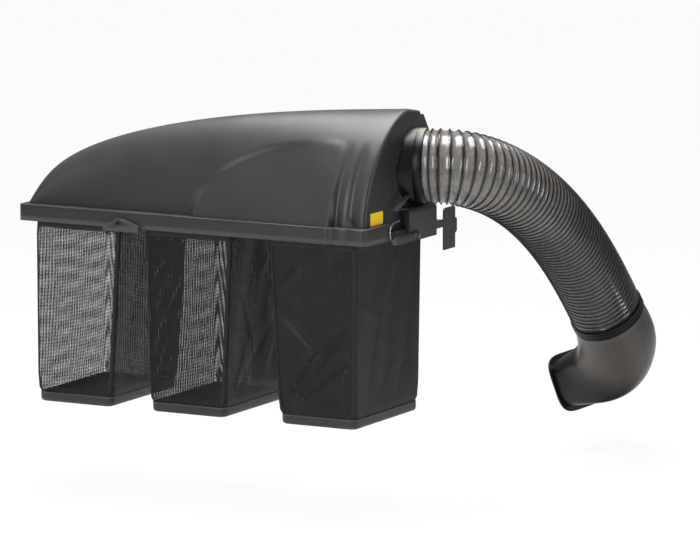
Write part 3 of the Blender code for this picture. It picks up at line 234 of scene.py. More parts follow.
def ridge_height(x):
    """The ridge falls to the left on a quarter of a superellipse, with a slight tilt."""
    share = dome_share(x)
    return DOME_HEIGHT * (1 - share ** DOME_POWER) ** (1 / DOME_POWER) * (1 - RIDGE_TILT * share)


def rear_depth(x):
    """How far the ridge lies forward of the ledge: less and less towards the left."""
    return REAR_RIGHT + (REAR_LEFT - REAR_RIGHT) * dome_share(x) ** REAR_SPREAD


def front_edge(height):
    """How far forward the hood's front edge lies, by the cube of the dome's height there."""
    return FRONT_FOOT + (FRONT_TOP - FRONT_FOOT) * (np.maximum(height, 0.0) / DOME_HEIGHT) ** 3


def groove_depth(x, rise):
    """Two upright grooves with bell-shaped sections, which run out near the dome's shoulder."""
    fade = ease((GROOVE_TOP - rise) / GROOVE_FADE)
    return fade * sum(deep * np.exp(-((x - middle) / half) ** 2) for middle, half, deep in GROOVES)


def panel_share(x, rise):
    """1 inside the pressed panel, 0 outside: a quarter ellipse on its left, a squarer corner on its right."""
    is_left, up = x < PANEL_TURN, rise / PANEL_TOP
    left = np.where(is_left, ((PANEL_TURN - x) / PANEL_LEFT) ** 2 + up ** 2, 9.0)
    right = np.where(is_left, 9.0, ((x - PANEL_TURN) / PANEL_RIGHT) ** 4 + up ** 4)
    return np.where(is_left, ease((1 - left) / 0.16), ease((1 - right) / 0.5))


def rear_face(x, share):
    """The rear face: a superellipse from the ledge up to the ridge, with the panel and grooves pressed in."""
    angle = share * math.pi / 2
    y = LEDGE + rear_depth(x) * (1 - np.cos(angle) ** (2 / REAR_POWER))
    rise = ridge_height(x) * np.sin(angle) ** (2 / REAR_POWER)
    flat = PANEL_FOOT + PANEL_LEAN * (rise / PANEL_TOP) ** PANEL_LEAN_POWER
    y = y + panel_share(x, rise) * (flat - y)
    return np.stack([x, y + groove_depth(x, rise), RIM_HEIGHT + rise], axis=-1)


def roof(x, share):
    """The roof falls gently from the ridge to the front edge, and less where the dome is low."""
    height = ridge_height(x)
    ridge = LEDGE + rear_depth(x)
    y = ridge + (front_edge(height) - ridge) * share
    return np.stack([x, y, RIM_HEIGHT + height - ROOF_FALL * (y - ridge) * np.minimum(height / 0.1, 1.0)], axis=-1)


def cheek_columns(crest, rear_rows, roof_rows):
    """The columns past the crest: a quarter ellipse over its edge, then flat down the cheek to the seam.
    The seam climbs forward with the rise and then runs level along the roof."""
    rise = np.sin(rear_rows * math.pi / 2) ** (2 / REAR_POWER)
    lip = DOME_HEIGHT - SEAM_DROP
    seam = np.concatenate([
        np.stack([SEAM_FOOT + (SEAM_TOP - SEAM_FOOT) * rise ** 1.15, RIM_HEIGHT + lip * rise], axis=-1),
        np.stack([SEAM_TOP + (SEAM_FRONT - SEAM_TOP) * roof_rows, RIM_HEIGHT + lip + 0.006 * roof_rows], axis=-1)])
    run = seam - crest[:, 1:]
    length = np.linalg.norm(run, axis=1, keepdims=True)
    toward = run / length
    columns = []
    for turn in np.linspace(0.0, math.pi / 2, 6)[1:]:
        out = np.full((len(crest), 1), DOME_RIGHT + (CHEEK - DOME_RIGHT) * math.sin(turn))
        columns.append(np.hstack([out, crest[:, 1:] + toward * CREST_TURN * (1 - math.cos(turn))]))
    for part in np.linspace(0.0, 1.0, 9)[1:]:
        flat = crest[:, 1:] + toward * (CREST_TURN + (length - CREST_TURN) * part)
        columns.append(np.hstack([np.full((len(crest), 1), CHEEK), flat]))
    return np.array(columns)


def rim_line(points, corner, arc):
    """The rim's outer edge in plan, point for point with the shell's foot: straight sides, two quarter-round
    corners, and a rear side that follows the grooves and steps out at the panel."""
    rear_x = points[1:corner, 0, 0]
    step = ease((rear_x - STEP_LEFT) / 0.006) * ease((STEP_RIGHT - rear_x) / 0.008)
    left_y, right_y = points[0, :0:-1, 1], points[corner + 1:, 0, 1]
    round_in, round_on = RIM_CORNER * (1 - np.cos(arc)), RIM_CORNER * (1 - np.sin(arc))
    return np.concatenate([
        np.stack([np.full(len(left_y), -RIM_HALF_WIDTH), np.maximum(left_y, RIM_CORNER)], axis=-1),
        np.stack([-RIM_HALF_WIDTH + round_in, round_on], axis=-1),
        np.stack([rear_x, GROOVE_IN_BAND * groove_depth(rear_x, 0.0) - PANEL_STEP * step], axis=-1),
        np.stack([RIM_HALF_WIDTH - round_on, round_in], axis=-1),
        np.stack([np.full(len(right_y), RIM_HALF_WIDTH), np.maximum(right_y, RIM_CORNER)], axis=-1)])


def hood_mesh():
    """Columns run across the hood and rows from the ledge over the ridge to the front edge; the cheek's
    columns follow. From the foot of all columns the ledge runs out to the rim, over its edge and down."""
    even_from, even_to, column = -0.10, 0.604, 0.0055
    turns = np.linspace(0.0, 1.0, 70)
    left = DOME_RIGHT - (DOME_RIGHT - DOME_LEFT) * np.cos(turns * math.pi / 2) ** (2 / DOME_POWER)
    places = np.concatenate([left[left < even_from], np.arange(even_from, even_to, column), [DOME_RIGHT]])
    rear_rows = np.linspace(0.0, 1.0, 56) ** 1.15
    roof_rows = np.linspace(0.0, 1.0, 15)[1:]
    dome = np.concatenate([rear_face(*np.meshgrid(places, rear_rows, indexing="ij")),
                           roof(*np.meshgrid(places, roof_rows, indexing="ij"))], axis=1)
    points = np.concatenate([dome, cheek_columns(dome[-1], rear_rows, roof_rows)], axis=0)

    columns, rows = points.shape[:2]
    index = np.arange(columns * rows).reshape(columns, rows)
    corner = len(places) - 1
    arc = np.linspace(0.0, math.pi / 2, 9)
    foot = np.concatenate([index[0, :0:-1], np.repeat(index[0, 0], len(arc)), index[1:corner, 0],
                           np.repeat(index[corner, 0], len(arc)), index[corner + 1:, 0]])
    rim = rim_line(points, corner, arc)
    inward = points.reshape(-1, 3)[foot, :2] - rim
    inward /= np.linalg.norm(inward, axis=1, keepdims=True)
    levels = [(RIM_EDGE * (1 - math.sin(t)), RIM_HEIGHT - RIM_EDGE * (1 - math.cos(t)))
              for t in np.linspace(0.0, math.pi / 2, 5)]
    levels += [(0.0, z) for z in (0.035, 0.018, 0.0)]
    bands = np.array([np.hstack([rim + inward * inset, np.full((len(rim), 1), z)]) for inset, z in levels])
    count = len(foot)
    rings = np.vstack([foot, columns * rows + np.arange(len(levels) * count).reshape(len(levels), count)])
    faces = np.stack([rings[:-1, :-1], rings[:-1, 1:], rings[1:, 1:], rings[1:, :-1]], axis=-1).reshape(-1, 4)
    return skin("hood_shell", points, extra_points=bands.reshape(-1, 3), extra_faces=faces)


HOOD_BLACK = moulded("hood_black", screen(50, 48, 50), 0.38, dust_and_top_highlight=0.22, upward_from=0.35, wear=0.25)
hood_shell = make_piece("hood_shell", hood_mesh(), HOOD_BLACK, outward=(0.0, -0.40, 0.45))
wall = hood_shell.modifiers.new("wall", "SOLIDIFY")
wall.thickness = HOOD_WALL
wall.offset = -1.0
wall.use_even_offset = True
wall.use_quality_normals = True
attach(hood_shell, "hood")
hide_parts("hood")


# The lift handle is moulded of the same plastic, a little smoother, and pressed onto the band's rear face.
# It is moulded by itself, so its black is a shade off the hood's.
def dress(names, material):
    """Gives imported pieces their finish."""
    for name in names:
        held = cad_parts[name].data.materials
        held.clear()
        held.append(material)


HANDLE_BLACK = moulded("handle_black", screen(54, 52, 55), 0.36, dust_and_top_highlight=0.1, wear=0.25)
dress(["lift_handle"], HANDLE_BLACK)


# The small lug on the ledge: a triangular rib of black plastic that stands on the ledge by the right groove.
# It is moulded with the hood, and here a piece of its own, laid on the hood.
def rib(name, outline, out, material, body):
    """A small flat rib: an outline drawn out to one side and closed by fans to its middle, its edges eased."""
    outline, out = np.array(outline), np.array(out)
    middle = np.tile(outline.mean(axis=0), (len(outline), 1))
    rings = np.stack([middle, outline, outline + out, middle + out])
    piece = make_piece(name, skin(name, rings, closed=True), material, sharp=30.0)
    eased = piece.modifiers.new("eased", "BEVEL")
    eased.width = 0.0006
    eased.segments = 2
    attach(piece, body)
    return piece


ledge_lug = rib("ledge_lug", [(0.557, 0.021, 0.0528), (0.585, 0.021, 0.0528), (0.5605, 0.021, 0.084),
                              (0.557, 0.021, 0.084)], (0.0, 0.018, 0.0), HANDLE_BLACK, "hood")


# The yellow patch on the cheek: a printed film, here plain and without words, with rounded corners.
# It is stuck flat on the cheek just above the ledge.
PATCH_MIDDLE, PATCH_HALF, PATCH_CORNER = np.array([0.110, 0.076]), (0.042, 0.0205), 0.004


def patch_mesh():
    """A rounded rectangle: each corner a quarter circle, drawn out 0.6 mm thick with a soft edge."""
    quarter = np.linspace(0.0, math.pi / 2, 7)
    turn = np.concatenate([quarter + k * math.pi / 2 for k in range(4)])
    sign_y, sign_z = np.repeat([1, -1, -1, 1], 7), np.repeat([1, 1, -1, -1], 7)
    outline = np.stack([sign_y * (PATCH_HALF[0] - PATCH_CORNER) + PATCH_CORNER * np.cos(turn),
                        sign_z * (PATCH_HALF[1] - PATCH_CORNER) + PATCH_CORNER * np.sin(turn)], axis=-1)
    rings = []
    for grow, out in ((1.0, 0.0), (1.0, 0.0004), (0.985, 0.0006), (0.5, 0.0006), (0.0, 0.0006)):
        flat = PATCH_MIDDLE + outline * grow
        rings.append(np.hstack([np.full((len(flat), 1), CHEEK + out), flat]))
    return skin("yellow_patch", np.array(rings), closed=True)


def printed_film():
    """Yellow film: clean colour with a faint mottle, glossy, with a soft ripple in its face, and a faint painted glow
    of its own that brightens it.
    """
    material, tree, shader = new_material("yellow_film")
    mottle = noise(tree, node(tree, "ShaderNodeTexCoord").outputs["Object"], 90.0, 3.0)
    colour = blend(tree, mottle, screen(255, 196, 0), screen(255, 220, 40))
    # The emission is painted light: the film glows faintly though it is no lamp.
    feed(tree, shader, {"Base Color": colour, "Emission Color": colour, "Emission Strength": 0.22,
                        "Roughness": 0.35, "Normal": bumped(tree, mottle, 0.2, 0.0004)})
    return material


yellow_patch = make_piece("yellow_patch", patch_mesh(), printed_film(), outward=(0.60, -0.57, 0.578))
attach(yellow_patch, "hood")


# The bags: black mesh cloth, sewn to a plastic frame at the top and clipped into a moulded tray below.
# Each hangs with a slight waist and soft folds, has a doubled hem and a sewn tape down each rear corner.
BAG_TOP, BAG_FOOT, BAG_FALL = 0.019, -0.5925, 0.616
BAG_REAR, BAG_DEPTH, BAG_WIDTH = 0.030, 0.453, 0.315
BAG_NARROWS, BAG_SHORTENS = 0.020, 0.0075
BAG_CORNER, CORNER_SHARPENS, TUCK = 0.022, 0.012, 0.0035
WAIST, FREE_DROP = 0.0075, 0.585
FOLD_COUNT, FOLD_HEIGHT, RIPPLE_HEIGHT = 13, 0.0030, 0.0012
TRAY_TOP, TRAY_FLOOR = -0.565, -0.597
TRAY_HALF_WIDTH, TRAY_HALF_DEPTH, TRAY_CORNER = 0.1375, 0.219, 0.028
SIDE_STEPS, CORNER_STEPS, TAPE_COLUMNS = 44, 6, 7
HEM_FOOT, TAPE_TOP = -0.021, -0.010
SHEET_WALL, WEAVE_PITCH = 0.0010, 0.0046


def bag_outline(side_steps, corner_steps):
    """Round a rectangle with round corners: where each point leans to, which way it faces, and where it
    sits between its side's corners, from -1 to 1."""
    run = np.linspace(-1.0, 1.0, side_steps, endpoint=False)
    turn = np.linspace(0.0, math.pi / 2, corner_steps, endpoint=False)
    lean, face, between = [], [], []
    for k in range(4):
        start = -math.pi / 2 + k * math.pi / 2
        out = np.array([math.cos(start), math.sin(start)])
        along = np.array([-out[1], out[0]])
        lean += [out + run[:, None] * along, np.tile(out + along, (corner_steps, 1))]
        face += [np.tile(out, (side_steps, 1)), np.stack([np.cos(start + turn), np.sin(start + turn)], axis=-1)]
        between += [run, np.ones(corner_steps)]
    return np.concatenate(lean), np.concatenate(face), np.concatenate(between)


def folds(across, down, draw, count, height):
    """Soft folds: each a ridge along a straight line with a bell-shaped section, fading at both ends."""
    total = np.zeros(np.broadcast(across, down).shape)
    for _ in range(count):
        x, y = draw.uniform(-0.16, 0.16), draw.uniform(0.06, 0.56)
        tilt = draw.uniform(0.3, 1.3) * draw.choice([-1, 1])
        width, length = draw.uniform(0.006, 0.018), draw.uniform(0.05, 0.16)
        along = (across - x) * math.cos(tilt) + (down - y) * math.sin(tilt)
        aside = -(across - x) * math.sin(tilt) + (down - y) * math.cos(tilt)
        total = total + height * draw.uniform(-1.0, 1.0) * np.exp(-(aside / width) ** 2 - (along / length) ** 4)
    return total


def crease(across, down, start_x, start_y, end_x, end_y, width, height):
    """One crease from a start to an end: a bell-shaped ridge or furrow, fading beyond both ends."""
    length = math.hypot(end_x - start_x, end_y - start_y)
    run_x, run_y = (end_x - start_x) / length, (end_y - start_y) / length
    along = (across - start_x) * run_x + (down - start_y) * run_y
    aside = (down - start_y) * run_x - (across - start_x) * run_y
    reach = np.clip(along / length, 0.0, 1.0) * length - along
    return height * np.exp(-(aside / width) ** 2 - (reach / 0.012) ** 2)


def bag_points(centre, sway, seed, levels, out=0.0, creases=()):
    """The cloth's grid: a round-cornered rectangle that narrows and sways downwards, pulled in
    between its corners like a hung cloth, with folds added along the way it faces."""
    draw = np.random.default_rng(seed)
    lean, face, between = bag_outline(SIDE_STEPS, CORNER_STEPS)
    z = np.asarray(levels, float)[:, None]
    down = BAG_TOP - z
    drop = down / BAG_FALL
    tuck = ease((TRAY_TOP + 0.012 - z) / 0.010) * TUCK
    half_x = BAG_WIDTH / 2 - BAG_NARROWS * drop + out - tuck
    half_y = BAG_DEPTH / 2 - BAG_SHORTENS * drop + out - tuck
    sharpened = np.clip(np.sin(np.clip(drop / 0.95, 0.0, 1.0) * math.pi) * 3.0, 0.0, 1.0)
    corner = BAG_CORNER - CORNER_SHARPENS * sharpened + out
    middle_y = BAG_REAR + BAG_DEPTH / 2 - BAG_SHORTENS * drop
    x = centre + sway * drop + lean[:, 0] * (half_x - corner) + face[:, 0] * corner
    y = middle_y + lean[:, 1] * (half_y - corner) + face[:, 1] * corner
    free = np.sin(np.clip(down / FREE_DROP, 0.0, 1.0) * math.pi) ** 0.7
    middle = 1 - between ** 2
    across = between * np.where(np.abs(face[:, 0]) > 0.5, 0.22, 0.15)
    pull = -WAIST * free * middle
    for k in range(4):
        here = np.zeros(len(between))
        start = k * (SIDE_STEPS + CORNER_STEPS)
        here[start:start + SIDE_STEPS] = 1.0
        pull = pull + here * free ** 0.5 * middle ** 0.4 * folds(across, down, draw, FOLD_COUNT, FOLD_HEIGHT)
        pull = pull + here * middle ** 0.5 * RIPPLE_HEIGHT * free * np.sin(across / 0.021 + 9 * down + k)
        for line in (creases if k == 0 else ()):
            pull = pull + here * middle ** 0.3 * crease(across, down, *line)
    return np.stack([x + face[:, 0] * pull, y + face[:, 1] * pull, np.broadcast_to(z, x.shape)], axis=-1)


def lay_flat(mesh, layer_name, u, v):
    """Writes a grid's UVs from u and v at its points, each given in full or as one row or one column."""
    corners = [np.stack([part[:-1, :-1], part[:-1, 1:], part[1:, 1:], part[1:, :-1]], axis=-1).ravel()
               for part in np.broadcast_arrays(u, v)]
    layer = mesh.uv_layers.new(name=layer_name)
    layer.data.foreach_set("uv", np.stack(corners, axis=-1).astype(np.float32).ravel())


def unroll(mesh, points, stretch=1.0, bow=0.0):
    """Lays the cloth flat as UVs, in metres: across along the row at mid height, down along the drop.
    The stretch and the bow, column by column, draw the weave out and lift its threads."""
    row = points[len(points) // 2]
    steps = np.linalg.norm(np.roll(row, -1, axis=0) - row, axis=1)
    drawn, lifted = np.broadcast_to(stretch, len(row)), np.broadcast_to(bow, len(row))
    drawn, lifted = np.append(drawn, drawn[0]), np.append(lifted, lifted[0])
    lay_flat(mesh, "cloth", np.concatenate([[0.0], np.cumsum(steps)])[None], points[:, :1, 2] * drawn + lifted)


def weave():
    """Woven mesh: threads both ways at an even pitch that wander a little. Slow waves swell and thin the
    threads, which stands for the arcs that two layers of mesh draw between them."""
    tree, given, out = effect("mesh_weave", [("Pitch", "Float", 0.003), ("Thread", "Float", 0.5),
                                             ("Upright", "Float", 0.5), ("Arcs", "Float", 0.3),
                                             ("Waver", "Float", 0.0012)],
                              [("Cover", "Float"), ("Height", "Float"), ("Tone", "Float")])
    flat = node(tree, "ShaderNodeUVMap", uv_map="cloth").outputs["UV"]
    drift = shift(tree, "SUBTRACT", noise(tree, flat, 9.0, 1.0, "Color"), (0.5, 0.5, 0.5))
    drift = node(tree, "ShaderNodeVectorMath", {0: drift, "Scale": given["Waver"]}, operation="SCALE").outputs[0]
    parts = node(tree, "ShaderNodeSeparateXYZ", {0: shift(tree, "ADD", flat, drift)}).outputs
    waves = node(tree, "ShaderNodeTexWave", {"Vector": flat, "Scale": 6.0, "Distortion": 3.0, "Detail": 1.0,
                                             "Detail Scale": 1.4}, bands_direction="Y").outputs["Fac"]
    swing = ranged(tree, waves, 0.0, 1.0, calc(tree, "MULTIPLY", given["Arcs"], -0.5),
                   calc(tree, "MULTIPLY", given["Arcs"], 0.5))
    swell = calc(tree, "ADD", swing, 1.0)
    covers, heights = [], []
    for axis, wide in (("X", "Upright"), ("Y", "Thread")):
        turns = calc(tree, "FRACT", calc(tree, "DIVIDE", parts[axis], given["Pitch"]))
        away = calc(tree, "ABSOLUTE", calc(tree, "SUBTRACT", turns, 0.5))
        reach = calc(tree, "MULTIPLY", calc(tree, "MULTIPLY", given[wide], swell), 0.5)
        covers.append(calc(tree, "LESS_THAN", away, reach))
        heights.append(ranged(tree, away, 0.0, reach, 1.0, 0.0))
    feed(tree, out, {"Cover": calc(tree, "MAXIMUM", *covers), "Height": calc(tree, "MAXIMUM", *heights),
                     "Tone": noise(tree, flat, 14.0, 5.0)})
    return tree


WEAVE = weave()


def mesh_cloth(name, thread, close, arcs):
    """Black coated mesh: threads with a dull sheen, open between them, and closer on the bag's right side."""
    material, tree, shader = new_material(name)
    right = node(tree, "ShaderNodeAttribute", attribute_name="closer").outputs["Fac"]
    closer = ranged(tree, right, 0.0, 1.0, thread, close)
    cloth = node(tree, "ShaderNodeGroup", {"Pitch": WEAVE_PITCH, "Thread": closer,
                                           "Upright": calc(tree, "MULTIPLY", closer, 0.55),
                                           "Arcs": ranged(tree, right, 0.0, 1.0, arcs, 0.0)},
                 node_tree=WEAVE).outputs
    feed(tree, shader, {"Base Color": blend(tree, cloth["Tone"], screen(12, 11, 12), screen(34, 33, 33)),
                        "Alpha": cloth["Cover"], "Normal": bumped(tree, cloth["Height"], 0.2, 0.0006),
                        "Roughness": 0.46, "Specular IOR Level": 0.28, "Sheen Weight": 0.04})
    return material


def sewn_tape():
    """Black woven tape with close slanting ribs, a little worn."""
    material, tree, shader = new_material("sewn_tape")
    flat = node(tree, "ShaderNodeUVMap", uv_map="cloth").outputs["UV"]
    ribs = node(tree, "ShaderNodeTexWave", {"Vector": flat, "Scale": 210.0, "Distortion": 0.4},
                bands_direction="DIAGONAL").outputs["Fac"]
    colour = blend(tree, noise(tree, flat, 30.0, 4.0), screen(14, 14, 15), screen(34, 33, 34))
    feed(tree, shader, {"Base Color": colour, "Normal": bumped(tree, ribs, 0.5, 0.0005), "Roughness": 0.7})
    return material


def corner_tapes(name, points):
    """The tapes down the two rear corners: seven columns of a bag's grid at each, laid out as UVs."""
    joined = bmesh.new()
    for k in (0, 3):
        first = SIDE_STEPS + k * (SIDE_STEPS + CORNER_STEPS)
        strip = points[:, np.arange(first, first + TAPE_COLUMNS) % points.shape[1]]
        strip_mesh = skin("strip", strip)
        steps = np.linalg.norm(np.diff(strip[len(strip) // 2], axis=0), axis=1)
        lay_flat(strip_mesh, "cloth", np.concatenate([[0.0], np.cumsum(steps)])[None], strip[:, :1, 2])
        joined.from_mesh(strip_mesh)
    mesh = bpy.data.meshes.new(name)
    joined.to_mesh(mesh)
    joined.free()
    return mesh


def bag_tray(name, centre, sway):
    """The tray: a round-cornered dish whose section runs from the floor out, round the foot and up to a
    rolled lip, then down inside again. The section gives how far out and how far up."""
    lean, face, _ = bag_outline(10, 10)
    section = [(-0.070, 0.0012), (-0.024, 0.0), (-0.012, 0.0), (-0.007, 0.0008), (-0.0028, 0.0033),
               (-0.0008, 0.0075), (0.0, 0.0125), (0.0, 0.024), (0.0004, 0.0285), (0.0, 0.0315),
               (-0.0014, 0.0320), (-0.0026, 0.0312), (-0.0030, 0.026), (-0.0030, 0.012), (-0.0055, 0.0062),
               (-0.012, 0.0045), (-0.070, 0.0045)]
    rows = []
    for grow, up in section:
        corner = max(TRAY_CORNER + grow, 0.006)
        x = centre + sway + lean[:, 0] * (TRAY_HALF_WIDTH + grow - corner) + face[:, 0] * corner
        y = BAG_REAR + TRAY_HALF_DEPTH + lean[:, 1] * (TRAY_HALF_DEPTH + grow - corner) + face[:, 1] * corner
        rows.append(np.stack([x, y, np.full(len(x), TRAY_FLOOR + up)], axis=-1))
    inside, outside = rows[-1].mean(axis=0), rows[0].mean(axis=0)
    rows = [np.tile(outside, (len(lean), 1))] + rows + [np.tile(inside, (len(lean), 1))]
    return skin(name, np.array(rows), closed=True)


TRAY_GREY = moulded("tray_grey", screen(42, 41, 41), 0.40, dust_and_top_highlight=0.12, wear=0.9)
TAPE = sewn_tape()
CREASES = ((-0.115, 0.27, -0.010, 0.370, 0.008, -0.0080), (-0.125, 0.400, -0.010, 0.405, 0.006, 0.0070),
           (-0.095, 0.53, 0.000, 0.400, 0.010, 0.0110), (-0.060, 0.520, 0.120, 0.400, 0.009, -0.0080),
           (0.000, 0.46, 0.120, 0.340, 0.011, 0.0085), (-0.130, 0.180, -0.060, 0.120, 0.011, 0.0060))
BAGS = (("left", -0.432, -0.018, 0.46, 0.86, 0.30, 11, ()),
        ("middle", -0.020, -0.008, 0.60, 0.92, 0.20, 23, ()),
        ("right", 0.432, 0.018, 0.93, 0.98, 0.0, 37, CREASES))
lean, face, between = bag_outline(SIDE_STEPS, CORNER_STEPS)
rear_wall, right_wall = ease(-face[:, 1]), ease(face[:, 0])
thread_bow = -0.003 * (1 - between ** 2) * rear_wall + 0.045 * lean[:, 0] * (1 + lean[:, 1]) / 2
for side, centre, sway, thread, close, arcs, seed, creases in BAGS:
    bag = "bag_" + side
    levels = np.linspace(BAG_TOP - 0.001, BAG_FOOT + 0.001, 60)
    points = bag_points(centre, sway, seed, levels, creases=creases)
    cloth_mesh = skin(bag + "_cloth", points, closed=True)
    unroll(cloth_mesh, points, 1.01 - 0.02 * rear_wall, thread_bow)
    closer = cloth_mesh.attributes.new("closer", "FLOAT", "POINT")
    closer.data.foreach_set("value", np.tile(right_wall, len(levels)).astype(np.float32))
    cloth = make_piece(bag + "_cloth", cloth_mesh, mesh_cloth("mesh_" + side, thread, close, arcs),
                       outward=(centre, -0.44, 0.20), sharp=180.0)
    points = bag_points(centre, sway, seed, np.linspace(BAG_TOP - 0.001, HEM_FOOT, 8), 0.0012, creases)
    hem_mesh = skin(bag + "_hem", points, closed=True)
    unroll(hem_mesh, points)
    hem = make_piece(bag + "_hem", hem_mesh, TAPE, outward=(centre, -0.44, 0.50), sharp=180.0)
    points = bag_points(centre, sway, seed, np.linspace(TAPE_TOP, BAG_FOOT + 0.03, 50), 0.0010, creases)
    binding = make_piece(bag + "_binding", corner_tapes(bag + "_binding", points), TAPE,
                         outward=(centre, -0.44, 0.20), sharp=180.0)
    for piece in (hem, binding):
        thick = piece.modifiers.new("thick", "SOLIDIFY")
        thick.thickness = SHEET_WALL
        thick.offset = 1.0
        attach(piece, "frame")
    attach(cloth, "frame")
    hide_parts("bag_" + side + "_fabric")
    dish = make_piece(bag + "_dish", bag_tray(bag + "_dish", centre, sway), TRAY_GREY,
                      outward=(centre, -0.45, -0.08), sharp=60.0)
    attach(dish, "frame")
    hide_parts("bag_" + side + "_tray")

FRAME_GREY = moulded("bag_frame_grey", screen(36, 36, 37), 0.5, dust_and_top_highlight=0.1, wear=0.3)
dress(["bag_" + side + "_frame" for side, *_ in BAGS], FRAME_GREY)
dress(["bag_" + side + "_grip" for side, *_ in BAGS], HANDLE_BLACK)


# The carrying frame: welded square tube and folded sheet, all powder coated black.
# Its masts bend down to the hitch plate, and the hood's two hinge arms are of the same steel.
def coated_steel():
    """Powder coat: an even orange-peel texture, a faint cloudy gloss, and bare pale steel on rubbed edges."""
    material = moulded("powder_coat", screen(28, 28, 30), 0.36, dust_and_top_highlight=0.15, wear=0.5, grain=420.0, depth=0.0005,
                       strength=0.35)
    shader = material.node_tree.nodes["Principled BSDF"]
    feed(material.node_tree, shader, {"Coat Weight": 0.3, "Coat Roughness": 0.3})
    return material


STEEL = coated_steel()
dress(["rear_rail", "front_rail", "end_rail_left", "end_rail_right", "mid_rail_left", "mid_rail_right",
       "hitch_plate", "mast_left", "mast_right", "mast_brace", "hinge_arm_left", "hinge_arm_right",
       "hinge_post_left", "hinge_post_right", "side_stay", "latch_bracket"], STEEL)


# The small steel: four bolts through the hitch plate, the hinge pins, and the latch's pin and wire hook.
# All are turned or bent from bar and zinc plated.
def zinc_plate():
    """Zinc plate: fine spangle and a faint yellow cast, brushed by handling."""
    material, tree, shader = new_material("zinc_plate")
    place = node(tree, "ShaderNodeTexCoord").outputs["Object"]
    spangle = node(tree, "ShaderNodeTexVoronoi", {"Vector": place, "Scale": 400.0}).outputs["Distance"]
    streak = noise(tree, place, 700.0, 2.0)
    feed(tree, shader, {"Base Color": blend(tree, spangle, screen(150, 152, 156), screen(186, 184, 176)),
                        "Roughness": ranged(tree, streak, 0.0, 1.0, 0.28, 0.46),
                        "Normal": bumped(tree, streak, 0.2, 0.0002), "Metallic": 1.0})
    return material


ZINC = zinc_plate()
dress(["hitch_bolt_1", "hitch_bolt_2", "hitch_bolt_3", "hitch_bolt_4", "hinge_pin_left", "hinge_pin_right",
       "latch_pin", "latch_hook"], ZINC)


# The four stops: black moulded rubber, set on the rails, which carry the hood's ledge from below.
# The duct's cuff is of the same rubber.
RUBBER = moulded("rubber", screen(10, 10, 11), 0.30, dust_and_top_highlight=0.0, wear=0.05, grain=1400.0, specular=0.2)
dress(["bumper_rear_left", "bumper_rear_right", "bumper_end_left", "bumper_end_right"], RUBBER)


# The front housing closes the hood's front and carries the duct: a wall, a cheek and a shelf.
# All three are one dark grey moulding, which stays with the carrying frame when the hood opens.
HOUSING_GREY = moulded("housing_grey", screen(46, 47, 48), 0.42, dust_and_top_highlight=0.12, wear=0.4)
dress(["front_housing"], HOUSING_GREY)


# The duct's inlet collar: a smooth black moulded ring through the cheek, with a step down to the spigot
# that the hose slips over. A thin gusset of the housing's plastic stands below it.
COLLAR_END = np.array([0.650, 0.400, 0.212])
COLLAR_AIM = np.array([math.cos(math.radians(18)), math.sin(math.radians(18)), 0.0])
DUCT_UP = np.array([-0.35, 0.0, 1.0])


def cross_ways(aims):
    """The two ways square to each aim: side is aim crossed with one fixed hint, up is side crossed with aim."""
    side = np.cross(aims, DUCT_UP)
    side /= np.linalg.norm(side, axis=-1, keepdims=True)
    return side, np.cross(side, aims)


def rings_along(places, aims, radii, sides):
    """Rings of points square to each aim. The radii may differ from ring to ring and round each ring."""
    side, up = cross_ways(aims)
    turn = np.linspace(0.0, 2 * math.pi, sides, endpoint=False)
    spokes = side[:, None] * np.cos(turn)[None, :, None] + up[:, None] * np.sin(turn)[None, :, None]
    return places[:, None] + spokes * np.asarray(radii)[..., None]


def turned_piece(name, end, aim, section, sides=96):
    """A turned section carried round a straight axis: how far along it, and how far out from it."""
    section = np.array(section)
    places = end + aim * section[:, :1]
    radii = np.repeat(section[:, 1:], sides, axis=1)
    return skin(name, rings_along(places, np.tile(aim, (len(section), 1)), radii, sides), closed=True)


collar_gusset = rib("collar_gusset", [(0.624, 0.214, 0.090), (0.642, 0.214, 0.090), (0.642, 0.305, 0.1315),
                                      (0.624, 0.305, 0.1315)], (0.0, 0.0016, -0.0040), HOUSING_GREY, "frame")
# The collar's large dust share paints a pale highlight along its top: painted light, not dust.
COLLAR_BLACK = moulded("collar_black", screen(14, 13, 14), 0.32, dust_and_top_highlight=2.2, upward_from=0.72, wear=0.05, specular=0.25)
COLLAR_SECTION = [(-0.090, 0.1190), (-0.088, 0.1220), (-0.030, 0.1220), (-0.029, 0.1214), (-0.027, 0.1214),
                  (-0.026, 0.1220), (-0.0045, 0.1220), (-0.0015, 0.1212), (-0.0003, 0.1196), (0.0, 0.1175),
                  (0.0, 0.1142), (0.033, 0.1142), (0.035, 0.1130), (0.035, 0.1102), (-0.010, 0.1102),
                  (-0.018, 0.1155), (-0.026, 0.1170), (-0.088, 0.1170), (-0.090, 0.1190)]
collar_ring = make_piece("collar_ring", turned_piece("collar_ring", COLLAR_END, COLLAR_AIM, COLLAR_SECTION),
                         COLLAR_BLACK, sharp=35.0)
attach(collar_ring, "frame")
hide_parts("inlet_collar")


# The duct: clear smoky film wound over a dark spring wire, so every turn shows a dark line on a
# ridge with the film dished between. It slips over the collar's spigot and over the chute's neck.
HOSE_END = np.array([0.824, 1.390, -0.405])
HOSE_END_AIM = np.array([0.124, 0.561, -0.818]) / math.sqrt(0.124 ** 2 + 0.561 ** 2 + 0.818 ** 2)
HOSE_LEAD, HOSE_START_HOLD, HOSE_END_HOLD = 0.037, 0.332, 0.342
HOSE_TURNS, HOSE_GAP = 54, 0.0003
HOSE_VALLEY, HOSE_CREST, HOSE_DISH_POWER = 0.1152, 0.1222, 2.2
WIRE_RADIUS, WIRE_INSET = 0.0022, 0.0016


def cubic(t, first, first_hold, last_hold, last):
    """A cubic curve from the first place to the last, drawn towards its two holds."""
    return (1 - t) ** 3 * first + 3 * (1 - t) ** 2 * t * first_hold + 3 * (1 - t) * t ** 2 * last_hold + t ** 3 * last


